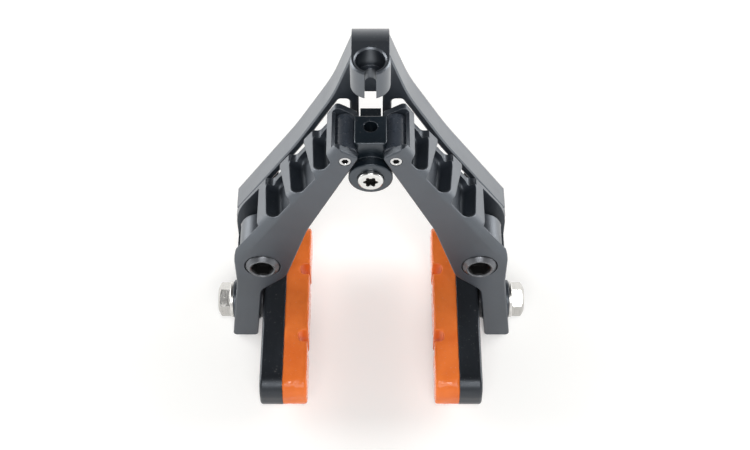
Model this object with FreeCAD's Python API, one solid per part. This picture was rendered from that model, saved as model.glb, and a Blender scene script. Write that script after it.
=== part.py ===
import FreeCAD, Part
import math
import os

V = FreeCAD.Vector

# Caliper brake, direct-mount, centre-pull, in millimetres.
# Origin: midpoint of the two mounting bolts on the yoke's rear mounting face.
# +X to the viewer's right, +Y rearwards into the bicycle frame, +Z up.
# The outlines below are drawn for the right side and mirrored for the left.

# Mounting bolts
BOLT_SPACING = 56.0
BOLT_SHANK_RADIUS = 3.2
BOLT_HOLE_CLEARANCE = 0.1
BOLT_HEAD_RADIUS = 4.45
BOLT_HEAD_PROUD = 1.0
BOLT_HEAD_CHAMFER = 1.0
BOLT_THREAD_RADIUS = 3.0
BOLT_THREAD_REACH = 9.0
BOLT_TIP_CHAMFER = 0.7
HEX_SOCKET_FLATS = 5.0
HEX_SOCKET_DEPTH = 3.0
SOCKET_MOUTH_CHAMFER = 0.25

# Pivots
BUSHING_WALL = 0.6
BUSHING_CLEARANCE = 0.05
PIVOT_CLEARANCE = 0.03
BUSHING_END_PLAY = 0.1
THRUST_WASHER_THICKNESS = 1.15
THRUST_WASHER_PLAY = 0.05
THRUST_WASHER_RADIUS = 4.6
COUNTERBORE_CLEARANCE = 0.25
COUNTERBORE_DEPTH = 5.0

# Yoke plate
YOKE_DEPTH = 7.0
YOKE_EYE_RADIUS = 7.5
YOKE_LEG_WIDTH = 1.9
YOKE_TOP_RISE = 19.5
YOKE_TOP_HALF_WIDTH = 4.4
YOKE_NECK_X = 9.1
YOKE_NECK_RISE = 5.4
YOKE_NECK_RADIUS = 50.0
YOKE_BEND_INSET = 9.4
YOKE_BEND_RISE = 30.1
YOKE_BEND_RADIUS = 100.0
YOKE_FOOT_OUT = 7.2
YOKE_FOOT_RISE = 3.7
GUIDE_SLOT_HALF_WIDTH = 2.9
GUIDE_SLOT_RISE = 7.0
PRONG_WIDTH = 2.1
PRONG_DROP = 10.5
YOKE_CROTCH_RISE = 4.1
YOKE_CROTCH_RADIUS = 1.1
PRONG_CORNER_RADIUS = 0.8
YOKE_EDGE = 0.35

# Housing stop
STOP_TOP_RISE = 26.5
STOP_BOTTOM_RISE = 18.0
STOP_AXIS_FORWARD = 15.0
STOP_BARREL_RADIUS = 4.6
STOP_BLOCK_HALF_WIDTH = 4.3
STOP_BORE_RADIUS = 3.4
STOP_FLOOR = 3.0
STOP_SLOT_HALF_WIDTH = 1.32
STOP_SLOT_PAST_AXIS = 1.0
STOP_BACK_RADIUS = 9.4
STOP_EDGE = 0.4
STOP_ROOT_RADIUS = 2.0

# Arms: stations from the front face to the back
ARM_DEPTH = 14.8
FRONT_PLATE = 1.9
REAR_PLATE = 1.9
LEG_DEPTH = 11.2
ARM_EDGE = 0.45
OUTER_EDGE_INNER_END = 2.2
OUTER_EDGE_SHOULDER = 3.4
REAR_EDGE_INNER_END = 0.8
REAR_EDGE_SHOULDER = 1.6
SLOPE_OVERRUN = 6.0
ENVELOPE_REACH = 90.0

# Rollers and the fork at the inner end of each arm, with heights measured from the pivot
ROLLER_SPACING = 12.0
ROLLER_RISE = 42.5
ROLLER_RADIUS = 3.0
ROLLER_SIDE_PLAY = 0.1
ROLLER_POCKET_CLEARANCE = 0.4
ROLLER_PIN_RADIUS = 1.5
ROLLER_BORE_CLEARANCE = 0.03
PIN_SEAT_CLEARANCE = 0.01
PIN_RECESS = 0.15
PIN_SOCKET_FLATS = 1.5
PIN_SOCKET_DEPTH = 0.9

# Arm outline, offsets from the roller axis and from the pivot
TIP_IN = 3.2
TIP_IN_RISE = 1.2
TIP_OUT = 2.2
TIP_OUT_RISE = 4.9
TIP_INNER_RADIUS = 0.9
TIP_OUTER_RADIUS = 1.3
KNEE_OUT = 7.9
KNEE_DROP = 4.9
KNEE_RADIUS = 40.0
SHOULDER_OUT = 7.15
SHOULDER_RISE = 6.2
SHOULDER_RADIUS = 16.0
WAIST_IN = 12.1
WAIST_RISE = 15.4
WAIST_RADIUS = 20.0
HIP_IN = 6.0
HIP_DROP = 4.6
HIP_RADIUS = 6.0
CROTCH_DROP = 11.0
LEG_CROTCH_RADIUS = 4.0
LEG_WAIST_DROP = 8.0
LEG_WAIST_RADIUS = 20.0
LEG_BOTTOM_DROP = 33.0
LEG_OUTER_FLARE = 2.95
LEG_CORNER_RADIUS = 1.0
LEG_INNER_TAPER_TOP = 1.4
LEG_INNER_TAPER_BOTTOM = 1.0
LEG_BACK_DROP = 11.5
LEG_BACK_RADIUS = 3.0

# Windows in the outer face of each arm, along the slope from the tip
# Each window: upper side at the front and back, lower side at the front and back
WINDOWS = (
    (4.6, 4.6, 10.6, 11.8),
    (11.3, 15.9, 20.8, 22.9),
    (22.9, 27.3, 32.7, 34.1),
)
WINDOW_DEPTH = 4.4
WINDOW_LIP = 0.35
WINDOW_FRONT_WALL = 1.3
WINDOW_REAR_WALL = 1.7
WINDOW_NOTCH_DEPTH = 2.3
WINDOW_NOTCH_RADIUS = 1.4
WINDOW_UPPER_RADIUS = 1.0
WINDOW_LOWER_BACK_RADIUS = 2.4
WINDOW_LOWER_FRONT_RADIUS = 3.4
WINDOW_FLOOR_RADIUS = 0.8
WINDOW_RIM = 0.25
RIM_TOLERANCE = 1e-3
CUTTER_OVERRUN = 3.0

# Pivot boss and spring cavity inside each arm
BOSS_RADIUS = 5.6
BOSS_RISE = 4.9
BOSS_DEPTH = 9.2
SHOULDER_POCKET_START = 37.4
SHOULDER_POCKET_DEPTH = 5.0
HUB_TUBE_WALL = 0.7
SPRING_CAVITY_RADIUS = 6.1
CAVITY_SIDE_RISE = 1.5
SIDE_CUT_FRONT_RISE = 3.4
SIDE_CUT_BACK_DROP = 3.8
FORK_OPENING_SHIFT = 0.9

# Return springs
SPRING_WIRE = 0.9
SPRING_TURNS = 1.75
SPRING_PITCH = 1.12
SPRING_ARCS_PER_TURN = 6
SPRING_CLEARANCE = 0.3
SPRING_FREE_LEG = 5.0
SPRING_ANCHOR_DEPTH = 2.5
SPRING_SLOT_PLAY = 0.6

# Pads and holders, measured from the pivot line and from the middle plane
PAD_GAP = 33.3
PAD_THICKNESS = 6.4
PAD_HEIGHT = 11.0
PAD_LENGTH = 54.0
PAD_DROP = 23.5
PAD_FORWARD = 4.6
PAD_CORNER_RADIUS = 4.6
PAD_EDGE = 0.7
PAD_GROOVE_WIDTH = 3.4
PAD_GROOVE_DEPTH = 2.6
PAD_GROOVE_FLOOR_RADIUS = 1.35
PAD_GROOVE_SHIFTS = (-10.5, 11.0)
PAD_KEY_HEIGHT = 7.4
PAD_KEY_DEPTH = 2.2
PAD_KEY_CLEARANCE = 0.1
PAD_KEY_END = 3.4
HOLDER_THICKNESS = 5.9
HOLDER_EDGE = 0.8
PAD_SCREW_RADIUS = 1.5
PAD_SCREW_SHIFT = 20.0
PAD_SCREW_BITE = 1.0
PAD_SCREW_SOCKET_FLATS = 1.5

# Pad bolts and washers
PAD_BOLT_RADIUS = 3.0
PAD_BOLT_HEAD_FLATS = 8.0
PAD_BOLT_HEAD_HEIGHT = 3.2
PAD_BOLT_HEAD_CHAMFER = 0.8
PAD_BOLT_HEAD_TOP_INSET = 1.2
PAD_BOLT_SOCKET_FLATS = 4.0
PAD_BOLT_SOCKET_DEPTH = 2.0
PAD_BOLT_CLEARANCE = 0.1
PAD_SLOT_TRAVEL = 1.5
LEG_SEAT_OUT = 9.15
LEG_SEAT_RADIUS = 5.3
DISHED_WASHER_THICKNESS = 1.3
DISHED_WASHER_RADIUS = 5.0
OUTER_WASHER_THICKNESS = 1.1
OUTER_WASHER_RADIUS = 4.9
WASHER_EDGE = 0.25
WASHER_HOLE_CLEARANCE = 0.15

# Cam carriage, heights from the pivot line
CARRIAGE_TOP_RISE = 3.5
CARRIAGE_HEAD_HALF_WIDTH = 3.9
CARRIAGE_FRONT_RECESS = 2.8
CARRIAGE_BACK = 11.5
CARRIAGE_FLANK_CLEARANCE = 0.05
CARRIAGE_EDGE = 0.4
CARRIAGE_CORNER_RADIUS = 1.0
CARRIAGE_BOSS_DROP = 6.3
CARRIAGE_BOSS_RADIUS = 5.3
CARRIAGE_BODY_BOSS_RADIUS = 5.0
CARRIAGE_BOSS_CHAMFER = 0.5
CARRIAGE_LIFT = 5.95
CLOSING_ANGLE = 3.0
CABLE_FORWARD = 15.0
CABLE_HOLE_RADIUS = 1.7
GUIDE_HALF_WIDTH = 2.5
GUIDE_TOP_DROP = 0.5
GUIDE_BACK = 17.5

# Cable clamp
CLAMP_HEAD_RADIUS = 3.13
CLAMP_HEAD_PROUD = 1.0
CLAMP_HEAD_SUNK = 1.2
CLAMP_HEAD_CLEARANCE = 0.12
CLAMP_BOLT_RADIUS = 2.5
CLAMP_BOLT_CLEARANCE = 0.02
CLAMP_PLATE_RADIUS = 2.4
CLAMP_PLATE_THICKNESS = 1.0
STAR_SOCKET_RADIUS = 1.8
STAR_SOCKET_DEPTH = 1.5
STAR_POINTS = 6

# Places worked out from the sizes above
PIVOT_X = BOLT_SPACING / 2
BOLT_HOLE_RADIUS = BOLT_SHANK_RADIUS + BOLT_HOLE_CLEARANCE
YOKE_FRONT = -YOKE_DEPTH
ARM_REAR = YOKE_FRONT - THRUST_WASHER_THICKNESS - THRUST_WASHER_PLAY
ARM_FRONT = ARM_REAR - ARM_DEPTH
BUSHING_BORE = BOLT_SHANK_RADIUS + BUSHING_CLEARANCE
BUSHING_RADIUS = BUSHING_BORE + BUSHING_WALL
PIVOT_BORE = BUSHING_RADIUS + PIVOT_CLEARANCE
HEAD_SEAT = ARM_FRONT + COUNTERBORE_DEPTH - BUSHING_END_PLAY
ROLLER_X = ROLLER_SPACING / 2
ROLLER_INSET = PIVOT_X - ROLLER_X
YOKE_TOP = ROLLER_RISE + YOKE_TOP_RISE
YOKE_NECK_Z = ROLLER_RISE + YOKE_NECK_RISE
GUIDE_SLOT_TOP = ROLLER_RISE + GUIDE_SLOT_RISE
PRONG_BOTTOM = ROLLER_RISE - PRONG_DROP
YOKE_CROTCH_TOP = ROLLER_RISE + YOKE_CROTCH_RISE
STOP_TOP = ROLLER_RISE + STOP_TOP_RISE
STOP_BOTTOM = ROLLER_RISE + STOP_BOTTOM_RISE
CARRIAGE_TOP = ROLLER_RISE + CARRIAGE_TOP_RISE
BOSS_HEIGHT = ROLLER_RISE - CARRIAGE_BOSS_DROP
GUIDE_TOP = ROLLER_RISE - GUIDE_TOP_DROP
ROLLER_FRONT = ARM_FRONT + FRONT_PLATE
ROLLER_REAR = ARM_REAR - REAR_PLATE
STOP_AXIS_Y = -STOP_AXIS_FORWARD
CABLE_Y = -CABLE_FORWARD
HOLDER_INNER_X = PAD_GAP / 2 + PAD_THICKNESS
HOLDER_OUTER_X = HOLDER_INNER_X + HOLDER_THICKNESS
LEG_SEAT_X = HOLDER_OUTER_X + DISHED_WASHER_THICKNESS
LEG_OUTER_SEAT_X = PIVOT_X + LEG_SEAT_OUT
PAD_BOLT_Y = ARM_FRONT + LEG_DEPTH / 2
PAD_CENTRE_Y = PAD_BOLT_Y - PAD_FORWARD
HUB_TUBE_RADIUS = PIVOT_BORE + HUB_TUBE_WALL
SPRING_RADIUS = HUB_TUBE_RADIUS + SPRING_CLEARANCE + SPRING_WIRE / 2


def export(shape, node):
    """Write one solid to its own file."""
    shape.exportStep("parts/" + node + ".step")


def mirrored(shape):
    """The same piece for the left side."""
    return shape.mirror(V(0, 0, 0), V(1, 0, 0))


def export_pair(shape, name):
    """Write a right-hand piece and its mirror image."""
    export(shape, name + "_right")
    export(mirrored(shape), name + "_left")


def xz(x, z, y=0.0):
    return V(x, y, z)


def rounded_wire(corners):
    """Closed wire through corners (point, radius), with tangent arcs at the corners."""
    count = len(corners)
    starts = []
    ends = []
    arcs = []
    for i in range(count):
        point, radius = corners[i]
        before = (corners[i - 1][0] - point).normalize()
        after = (corners[(i + 1) % count][0] - point).normalize()
        if radius <= 0:
            starts.append(point)
            ends.append(point)
            arcs.append(None)
            continue
        half = before.getAngle(after) / 2
        reach = radius / math.tan(half)
        middle = (before + after).normalize()
        centre = point + middle * (radius / math.sin(half))
        starts.append(point + before * reach)
        ends.append(point + after * reach)
        arcs.append(centre - middle * radius)
    edges = []
    for i in range(count):
        if arcs[i] is not None:
            edges.append(Part.Arc(starts[i], arcs[i], ends[i]).toShape())
        following = (i + 1) % count
        if (starts[following] - ends[i]).Length > 1e-6:
            edges.append(Part.LineSegment(ends[i], starts[following]).toShape())
    return Part.Wire(edges)


def slab(corners, direction):
    """Solid swept from a rounded outline along a straight direction."""
    return Part.Face(rounded_wire(corners)).extrude(direction)


def y_cylinder(radius, x, z, front, back):
    return Part.makeCylinder(radius, back - front, V(x, front, z), V(0, 1, 0))


def x_cylinder(radius, y, z, start, end):
    return Part.makeCylinder(radius, end - start, V(start, y, z), V(1, 0, 0))


def z_cylinder(radius, x, y, bottom, top):
    return Part.makeCylinder(radius, top - bottom, V(x, y, bottom), V(0, 0, 1))


def box(x0, x1, y0, y1, z0, z1):
    return Part.makeBox(x1 - x0, y1 - y0, z1 - z0, V(x0, y0, z0))


def revolved(profile, centre, axis, side):
    """Turned solid: profile points are (radius, distance along the axis)."""
    points = [centre + side * r + axis * d for r, d in profile]
    wire = Part.makePolygon(points + [points[0]])
    return Part.Face(wire).revolve(centre, axis, 360)


def hexagon(centre, axis, side, flats, depth):
    """Hexagonal prism of the given width across flats."""
    across = axis.cross(side)
    radius = flats / math.sqrt(3)
    points = []
    for i in range(6):
        angle = math.radians(60 * i)
        points.append(centre + side * (radius * math.cos(angle)) + across * (radius * math.sin(angle)))
    return Part.Face(Part.makePolygon(points + [points[0]])).extrude(axis * depth)


def edges_where(shape, test):
    """Edges whose ends and middle all pass the test."""
    chosen = []
    for edge in shape.Edges:
        first = edge.valueAt(edge.FirstParameter)
        last = edge.valueAt(edge.LastParameter)
        middle = edge.valueAt((edge.FirstParameter + edge.LastParameter) / 2)
        if test(first) and test(last) and test(middle):
            chosen.append(edge)
    return chosen


# Outline of the right arm
PIVOT = xz(PIVOT_X, 0)
ROLLER = xz(ROLLER_X, ROLLER_RISE)
TIP_INNER = ROLLER + xz(-TIP_IN, TIP_IN_RISE)
TIP_OUTER = ROLLER + xz(TIP_OUT, TIP_OUT_RISE)
KNEE = ROLLER + xz(KNEE_OUT, -KNEE_DROP)
SHOULDER = PIVOT + xz(SHOULDER_OUT, SHOULDER_RISE)
LEG_WAIST = PIVOT + xz(SHOULDER_OUT, -LEG_WAIST_DROP)
LEG_FOOT_OUT = PIVOT + xz(SHOULDER_OUT + LEG_OUTER_FLARE, -LEG_BOTTOM_DROP)
LEG_FOOT_IN = xz(LEG_SEAT_X + LEG_INNER_TAPER_BOTTOM, -LEG_BOTTOM_DROP)
LEG_CROTCH = xz(LEG_SEAT_X - LEG_INNER_TAPER_TOP, -CROTCH_DROP)
HIP = PIVOT + xz(-HIP_IN, -HIP_DROP)
WAIST = PIVOT + xz(-WAIST_IN, WAIST_RISE)

DOWN_SLOPE = (SHOULDER - TIP_OUTER).normalize()
OUT_OF_SLOPE = V(-DOWN_SLOPE.z, 0, DOWN_SLOPE.x)


def on_slope(along, y, out):
    """Point at a distance along the outer slope, at a depth y, out of the slope."""
    return TIP_OUTER + DOWN_SLOPE * along + OUT_OF_SLOPE * out + V(0, y, 0)


def placed(corners, y):
    """Outline corners moved to a station along Y."""
    return [(point + V(0, y, 0), radius) for point, radius in corners]


def rim_edges(shape, y):
    """Edges that lie flat on a station along Y."""
    return edges_where(shape, lambda p: abs(p.y - y) < 1e-4)


def arm_blank():
    """Plate of the arm's outline, with a small radius round both rims."""
    corners = [
        (TIP_INNER, TIP_INNER_RADIUS),
        (WAIST, WAIST_RADIUS),
        (HIP, HIP_RADIUS),
        (LEG_CROTCH, LEG_CROTCH_RADIUS),
        (LEG_FOOT_IN, LEG_CORNER_RADIUS),
        (LEG_FOOT_OUT, LEG_CORNER_RADIUS),
        (LEG_WAIST, LEG_WAIST_RADIUS),
        (SHOULDER, SHOULDER_RADIUS),
        (KNEE, KNEE_RADIUS),
        (TIP_OUTER, TIP_OUTER_RADIUS),
    ]
    plate = slab(placed(corners, ARM_FRONT), V(0, ARM_DEPTH, 0))
    rims = rim_edges(plate, ARM_FRONT) + rim_edges(plate, ARM_REAR)
    return plate.makeFillet(ARM_EDGE, rims)


def slope_envelope():
    """Large block whose outer slope has edges that widen from the tip to the shoulder."""
    upper = (TIP_OUTER - KNEE).normalize()
    lower = (SHOULDER - KNEE).normalize()
    high = TIP_OUTER + upper * SLOPE_OVERRUN
    low = SHOULDER + lower * SLOPE_OVERRUN
    corners = [
        (high, 0),
        (xz(-ENVELOPE_REACH, high.z), 0),
        (xz(-ENVELOPE_REACH, -ENVELOPE_REACH), 0),
        (xz(ENVELOPE_REACH, -ENVELOPE_REACH), 0),
        (xz(ENVELOPE_REACH, low.z), 0),
        (low, 0),
        (KNEE, KNEE_RADIUS),
    ]
    block = slab(placed(corners, ARM_FRONT), V(0, ARM_DEPTH, 0))
    edges = ((ARM_FRONT, OUTER_EDGE_INNER_END, OUTER_EDGE_SHOULDER),
             (ARM_REAR, REAR_EDGE_INNER_END, REAR_EDGE_SHOULDER))
    for y, small, large in edges:
        straight = edges_where(block, lambda p: abs(p.y - y) < 1e-4 and on_line(p, low, KNEE))
        block = block.makeFillet(large, small, straight)
    return block


def on_level(point, z):
    """Whether a point lies at a height."""
    return abs(point.z - z) < 1e-4


def on_line(point, first, second):
    """Whether a point lies on the line through two points of the outline."""
    run = (second - first).normalize()
    offset = xz(point.x, point.z) - first
    return offset.cross(run).Length < 1e-4


def window_section(window, wall, out):
    """Rounded outline of a window at a height out of the slope, a wall's thickness behind the front."""
    upper_front, upper_back, lower_front, lower_back = window
    front = ARM_FRONT + wall
    back = ARM_REAR - WINDOW_REAR_WALL
    corners = [
        (on_slope(upper_front, front, out), WINDOW_UPPER_RADIUS),
        (on_slope(upper_back, back, out), WINDOW_UPPER_RADIUS),
        (on_slope(lower_back, back, out), WINDOW_LOWER_BACK_RADIUS),
        (on_slope(lower_front, front, out), WINDOW_LOWER_FRONT_RADIUS),
    ]
    return rounded_wire(corners)


def window_pocket(window):
    """Pocket whose front wall thickens towards a rounded floor."""
    slant = (WINDOW_FRONT_WALL - WINDOW_LIP) / (WINDOW_DEPTH - OUTER_EDGE_SHOULDER / 2)
    mouth_wall = WINDOW_FRONT_WALL - slant * (WINDOW_DEPTH + CUTTER_OVERRUN)
    mouth = window_section(window, mouth_wall, CUTTER_OVERRUN)
    floor = window_section(window, WINDOW_FRONT_WALL, -WINDOW_DEPTH)
    pocket = Part.makeLoft([mouth, floor], True, True)
    low = edges_where(pocket, lambda p: (p - TIP_OUTER).dot(OUT_OF_SLOPE) < -WINDOW_DEPTH + 1e-4)
    return pocket.makeFillet(WINDOW_FLOOR_RADIUS, low)


def window_notch(window):
    """Shallow rounded notch that lowers the rear wall behind a window."""
    start = ARM_REAR - WINDOW_REAR_WALL - WINDOW_UPPER_RADIUS
    upper = window[1]
    lower = window[3]
    corners = [
        (on_slope(upper, start, CUTTER_OVERRUN), 0),
        (on_slope(upper, start, -WINDOW_NOTCH_DEPTH), WINDOW_NOTCH_RADIUS),
        (on_slope(lower, start, -WINDOW_NOTCH_DEPTH), WINDOW_NOTCH_RADIUS),
        (on_slope(lower, start, CUTTER_OVERRUN), 0),
    ]
    return slab(corners, V(0, ARM_REAR + CUTTER_OVERRUN - start, 0))


def window_rim(arm, blank, cutter):
    """Edges where a window meets the outside of the arm."""
    skin = blank.Shells[0]
    wall = cutter.Shells[0]

    def on_both(point):
        vertex = Part.Vertex(point)
        return vertex.distToShape(skin)[0] < RIM_TOLERANCE and vertex.distToShape(wall)[0] < RIM_TOLERANCE

    return edges_where(arm, on_both)


def fork_cutter():
    """Space for the roller: a round pocket, open towards the tip."""
    radius = ROLLER_RADIUS + ROLLER_POCKET_CLEARANCE
    depth = V(0, ROLLER_REAR - ROLLER_FRONT, 0)
    pocket = y_cylinder(radius, ROLLER_X, ROLLER_RISE, ROLLER_FRONT, ROLLER_REAR)
    start = ROLLER + V(0, ROLLER_FRONT, 0)
    across = OUT_OF_SLOPE * (radius + CUTTER_OVERRUN)
    up = DOWN_SLOPE * -(radius + 2 * CUTTER_OVERRUN)
    edge = DOWN_SLOPE * -FORK_OPENING_SHIFT
    inner = start - across
    outer = start + across + edge
    round_top = start + OUT_OF_SLOPE * radius
    corners = [inner, inner + up, outer + up, outer, round_top + edge, round_top, start]
    opening = Part.Face(Part.makePolygon(corners + [inner])).extrude(depth)
    return pocket.fuse(opening)


def shoulder_outline(low):
    """Outline of the pocket above the pivot boss, open to the slope and to the side."""
    outside = SHOULDER.x + CUTTER_OVERRUN
    return [
        on_slope(SHOULDER_POCKET_START, 0, CUTTER_OVERRUN),
        on_slope(SHOULDER_POCKET_START, 0, -SHOULDER_POCKET_DEPTH),
        PIVOT + xz(-BOSS_RADIUS / 2, BOSS_RISE),
        PIVOT + xz(0, low),
        xz(outside, low),
        xz(outside, on_slope(SHOULDER_POCKET_START, 0, CUTTER_OVERRUN).z),
    ]


def shoulder_cutter():
    """Shoulder pocket round the pivot boss, spring cavity behind it and the side opening."""
    front = ARM_FRONT + WINDOW_FRONT_WALL
    middle = ARM_FRONT + BOSS_DEPTH
    back = ARM_REAR - WINDOW_REAR_WALL
    points = [p + V(0, front, 0) for p in shoulder_outline(SIDE_CUT_FRONT_RISE)]
    pocket = Part.Face(Part.makePolygon(points + [points[0]])).extrude(V(0, middle - front, 0))
    boss_low = y_cylinder(BOSS_RADIUS, PIVOT_X, 0, front, middle)
    boss_high = y_cylinder(BOSS_RADIUS, PIVOT_X, BOSS_RISE, front, middle)
    column = box(PIVOT_X - BOSS_RADIUS, PIVOT_X + BOSS_RADIUS, front, middle, 0, BOSS_RISE)
    pocket = pocket.cut(boss_low.fuse([boss_high, column]))

    points = [p + V(0, middle, 0) for p in shoulder_outline(CAVITY_SIDE_RISE)]
    cavity = Part.Face(Part.makePolygon(points + [points[0]])).extrude(V(0, back - middle, 0))
    cavity = cavity.fuse(y_cylinder(SPRING_CAVITY_RADIUS, PIVOT_X, 0, middle, back))
    cavity = cavity.cut(y_cylinder(HUB_TUBE_RADIUS, PIVOT_X, 0, middle, back))

    side = PIVOT_X + BOSS_RADIUS
    profile = [
        V(side, front, SIDE_CUT_FRONT_RISE),
        V(side, middle, -SIDE_CUT_BACK_DROP),
        V(side, back, -SIDE_CUT_BACK_DROP),
        V(side, back, SHOULDER.z + CUTTER_OVERRUN),
        V(side, front, SHOULDER.z + CUTTER_OVERRUN),
    ]
    opening = Part.Face(Part.makePolygon(profile + [profile[0]])).extrude(V(2 * CUTTER_OVERRUN, 0, 0))
    return pocket.fuse([cavity, opening])


def leg_back_cutter():
    """Cut that makes the leg shallower than the arm."""
    front = ARM_FRONT + LEG_DEPTH
    back = ARM_REAR + CUTTER_OVERRUN
    bottom = -LEG_BOTTOM_DROP - CUTTER_OVERRUN
    side = WAIST.x
    corners = [
        (V(side, front, bottom), 0),
        (V(side, front, -LEG_BACK_DROP), LEG_BACK_RADIUS),
        (V(side, back, -LEG_BACK_DROP), 0),
        (V(side, back, bottom), 0),
    ]
    return slab(corners, V(BOLT_SPACING, 0, 0))


def pad_bolt_slot(start, end):
    """Upright slot through the leg that lets the pad be set up or down."""
    radius = PAD_BOLT_RADIUS + PAD_BOLT_CLEARANCE
    low = x_cylinder(radius, PAD_BOLT_Y, -PAD_DROP - PAD_SLOT_TRAVEL, start, end)
    high = x_cylinder(radius, PAD_BOLT_Y, -PAD_DROP + PAD_SLOT_TRAVEL, start, end)
    middle = box(start, end, PAD_BOLT_Y - radius, PAD_BOLT_Y + radius,
                 -PAD_DROP - PAD_SLOT_TRAVEL, -PAD_DROP + PAD_SLOT_TRAVEL)
    return low.fuse([high, middle])


def make_arm():
    """Right arm: fork for the roller, windowed slope, pivot boss and leg for the pad."""
    arm = arm_blank().common(slope_envelope())
    arm = arm.cut(leg_back_cutter())
    blank = arm.copy()
    for window in WINDOWS:
        cutter = window_pocket(window).fuse(window_notch(window))
        arm = arm.cut(cutter)
        arm = arm.makeFillet(WINDOW_RIM, window_rim(arm, blank, cutter))
    arm = arm.cut([fork_cutter(), shoulder_cutter()])

    seats = x_cylinder(LEG_SEAT_RADIUS, PAD_BOLT_Y, -PAD_DROP, LEG_SEAT_X, LEG_OUTER_SEAT_X)
    arm = arm.fuse(seats)
    spot = LEG_SEAT_RADIUS + WASHER_EDGE
    inner_spot = x_cylinder(spot, PAD_BOLT_Y, -PAD_DROP, LEG_SEAT_X - CUTTER_OVERRUN, LEG_SEAT_X)
    outer_spot = x_cylinder(spot, PAD_BOLT_Y, -PAD_DROP,
                            LEG_OUTER_SEAT_X, LEG_OUTER_SEAT_X + CUTTER_OVERRUN)
    slot = pad_bolt_slot(LEG_SEAT_X - CUTTER_OVERRUN, LEG_OUTER_SEAT_X + CUTTER_OVERRUN)
    bore = y_cylinder(PIVOT_BORE, PIVOT_X, 0, ARM_FRONT, ARM_REAR)
    counterbore = y_cylinder(BOLT_HEAD_RADIUS + COUNTERBORE_CLEARANCE, PIVOT_X, 0,
                             ARM_FRONT, ARM_FRONT + COUNTERBORE_DEPTH)
    pin_hole = y_cylinder(ROLLER_PIN_RADIUS + PIN_SEAT_CLEARANCE, ROLLER_X, ROLLER_RISE,
                          ARM_FRONT, ARM_REAR)
    arm = arm.cut([inner_spot, outer_spot, slot, bore, counterbore, pin_hole, spring_slot()])
    return arm


def spring_point(turns):
    """Middle of the wire after a number of turns from the front end of the coil."""
    length = SPRING_PITCH * SPRING_TURNS
    room = (ARM_REAR - WINDOW_REAR_WALL) - (ARM_FRONT + BOSS_DEPTH) - length
    angle = 2 * math.pi * turns
    along = ARM_FRONT + BOSS_DEPTH + room / 2 + SPRING_PITCH * turns
    return PIVOT + V(SPRING_RADIUS * math.cos(angle), along, -SPRING_RADIUS * math.sin(angle))


def spring_slot():
    """Hole in the arm's rear plate where the spring's fixed leg passes."""
    end = spring_point(SPRING_TURNS)
    return y_cylinder(SPRING_WIRE / 2 + SPRING_SLOT_PLAY, end.x, end.z,
                      ARM_REAR - REAR_PLATE, ARM_REAR)


def yoke_plate():
    """V-shaped plate with two legs and the two prongs of the guide slot."""
    neck = xz(YOKE_NECK_X, YOKE_NECK_Z)
    bend = PIVOT + xz(-YOKE_BEND_INSET, YOKE_BEND_RISE)
    foot = PIVOT + xz(YOKE_FOOT_OUT, YOKE_FOOT_RISE)
    lower_run = (bend - foot).normalize()
    upper_run = (neck - bend).normalize()
    lower_inward = xz(-lower_run.z, lower_run.x) * YOKE_LEG_WIDTH
    upper_inward = xz(-upper_run.z, upper_run.x) * YOKE_LEG_WIDTH
    bend_inner = bend + (lower_inward + upper_inward) / 2
    foot_inner = foot + lower_inward
    crotch_x = bend_inner.x + upper_run.x * (YOKE_CROTCH_TOP - bend_inner.z) / upper_run.z
    prong_x = GUIDE_SLOT_HALF_WIDTH + PRONG_WIDTH
    right = [
        (xz(YOKE_TOP_HALF_WIDTH, YOKE_TOP), 0),
        (neck, YOKE_NECK_RADIUS),
        (bend, YOKE_BEND_RADIUS),
        (foot, 0),
        (foot_inner, 0),
        (bend_inner, YOKE_BEND_RADIUS - YOKE_LEG_WIDTH),
        (xz(crotch_x, YOKE_CROTCH_TOP), YOKE_CROTCH_RADIUS),
        (xz(prong_x, YOKE_CROTCH_TOP), YOKE_CROTCH_RADIUS),
        (xz(prong_x, PRONG_BOTTOM), PRONG_CORNER_RADIUS),
        (xz(GUIDE_SLOT_HALF_WIDTH, PRONG_BOTTOM), PRONG_CORNER_RADIUS),
        (xz(GUIDE_SLOT_HALF_WIDTH, GUIDE_SLOT_TOP), 0),
    ]
    left = [(xz(-point.x, point.z), radius) for point, radius in reversed(right)]
    plate = slab(placed(right + left, YOKE_FRONT), V(0, YOKE_DEPTH, 0))
    for side in (1, -1):
        plate = plate.fuse(y_cylinder(YOKE_EYE_RADIUS, side * PIVOT_X, 0, YOKE_FRONT, 0))
    plate = plate.removeSplitter()
    return plate.makeChamfer(YOKE_EDGE, rim_edges(plate, YOKE_FRONT) + rim_edges(plate, 0))


def housing_stop():
    """Block and slotted barrel that hold the end of the cable housing."""
    half = STOP_BLOCK_HALF_WIDTH
    profile = [
        (V(-half, STOP_AXIS_Y, STOP_TOP), 0),
        (V(-half, 0, STOP_TOP), STOP_BACK_RADIUS),
        (V(-half, 0, GUIDE_SLOT_TOP), 0),
        (V(-half, YOKE_FRONT, GUIDE_SLOT_TOP), 0),
        (V(-half, YOKE_FRONT, STOP_BOTTOM), STOP_ROOT_RADIUS),
        (V(-half, STOP_AXIS_Y, STOP_BOTTOM), 0),
    ]
    block = slab(profile, V(2 * half, 0, 0))
    barrel = z_cylinder(STOP_BARREL_RADIUS, 0, STOP_AXIS_Y, STOP_BOTTOM, STOP_TOP)
    front = -STOP_BARREL_RADIUS - STOP_AXIS_FORWARD
    ends = edges_where(barrel, lambda p: on_level(p, STOP_TOP) or on_level(p, STOP_BOTTOM))
    barrel = barrel.makeChamfer(STOP_EDGE, ends)
    front_half = box(-STOP_BARREL_RADIUS, STOP_BARREL_RADIUS, front, STOP_AXIS_Y + 2 * STOP_EDGE,
                     STOP_BOTTOM, STOP_TOP)
    return block.fuse(barrel.common(front_half))


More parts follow.
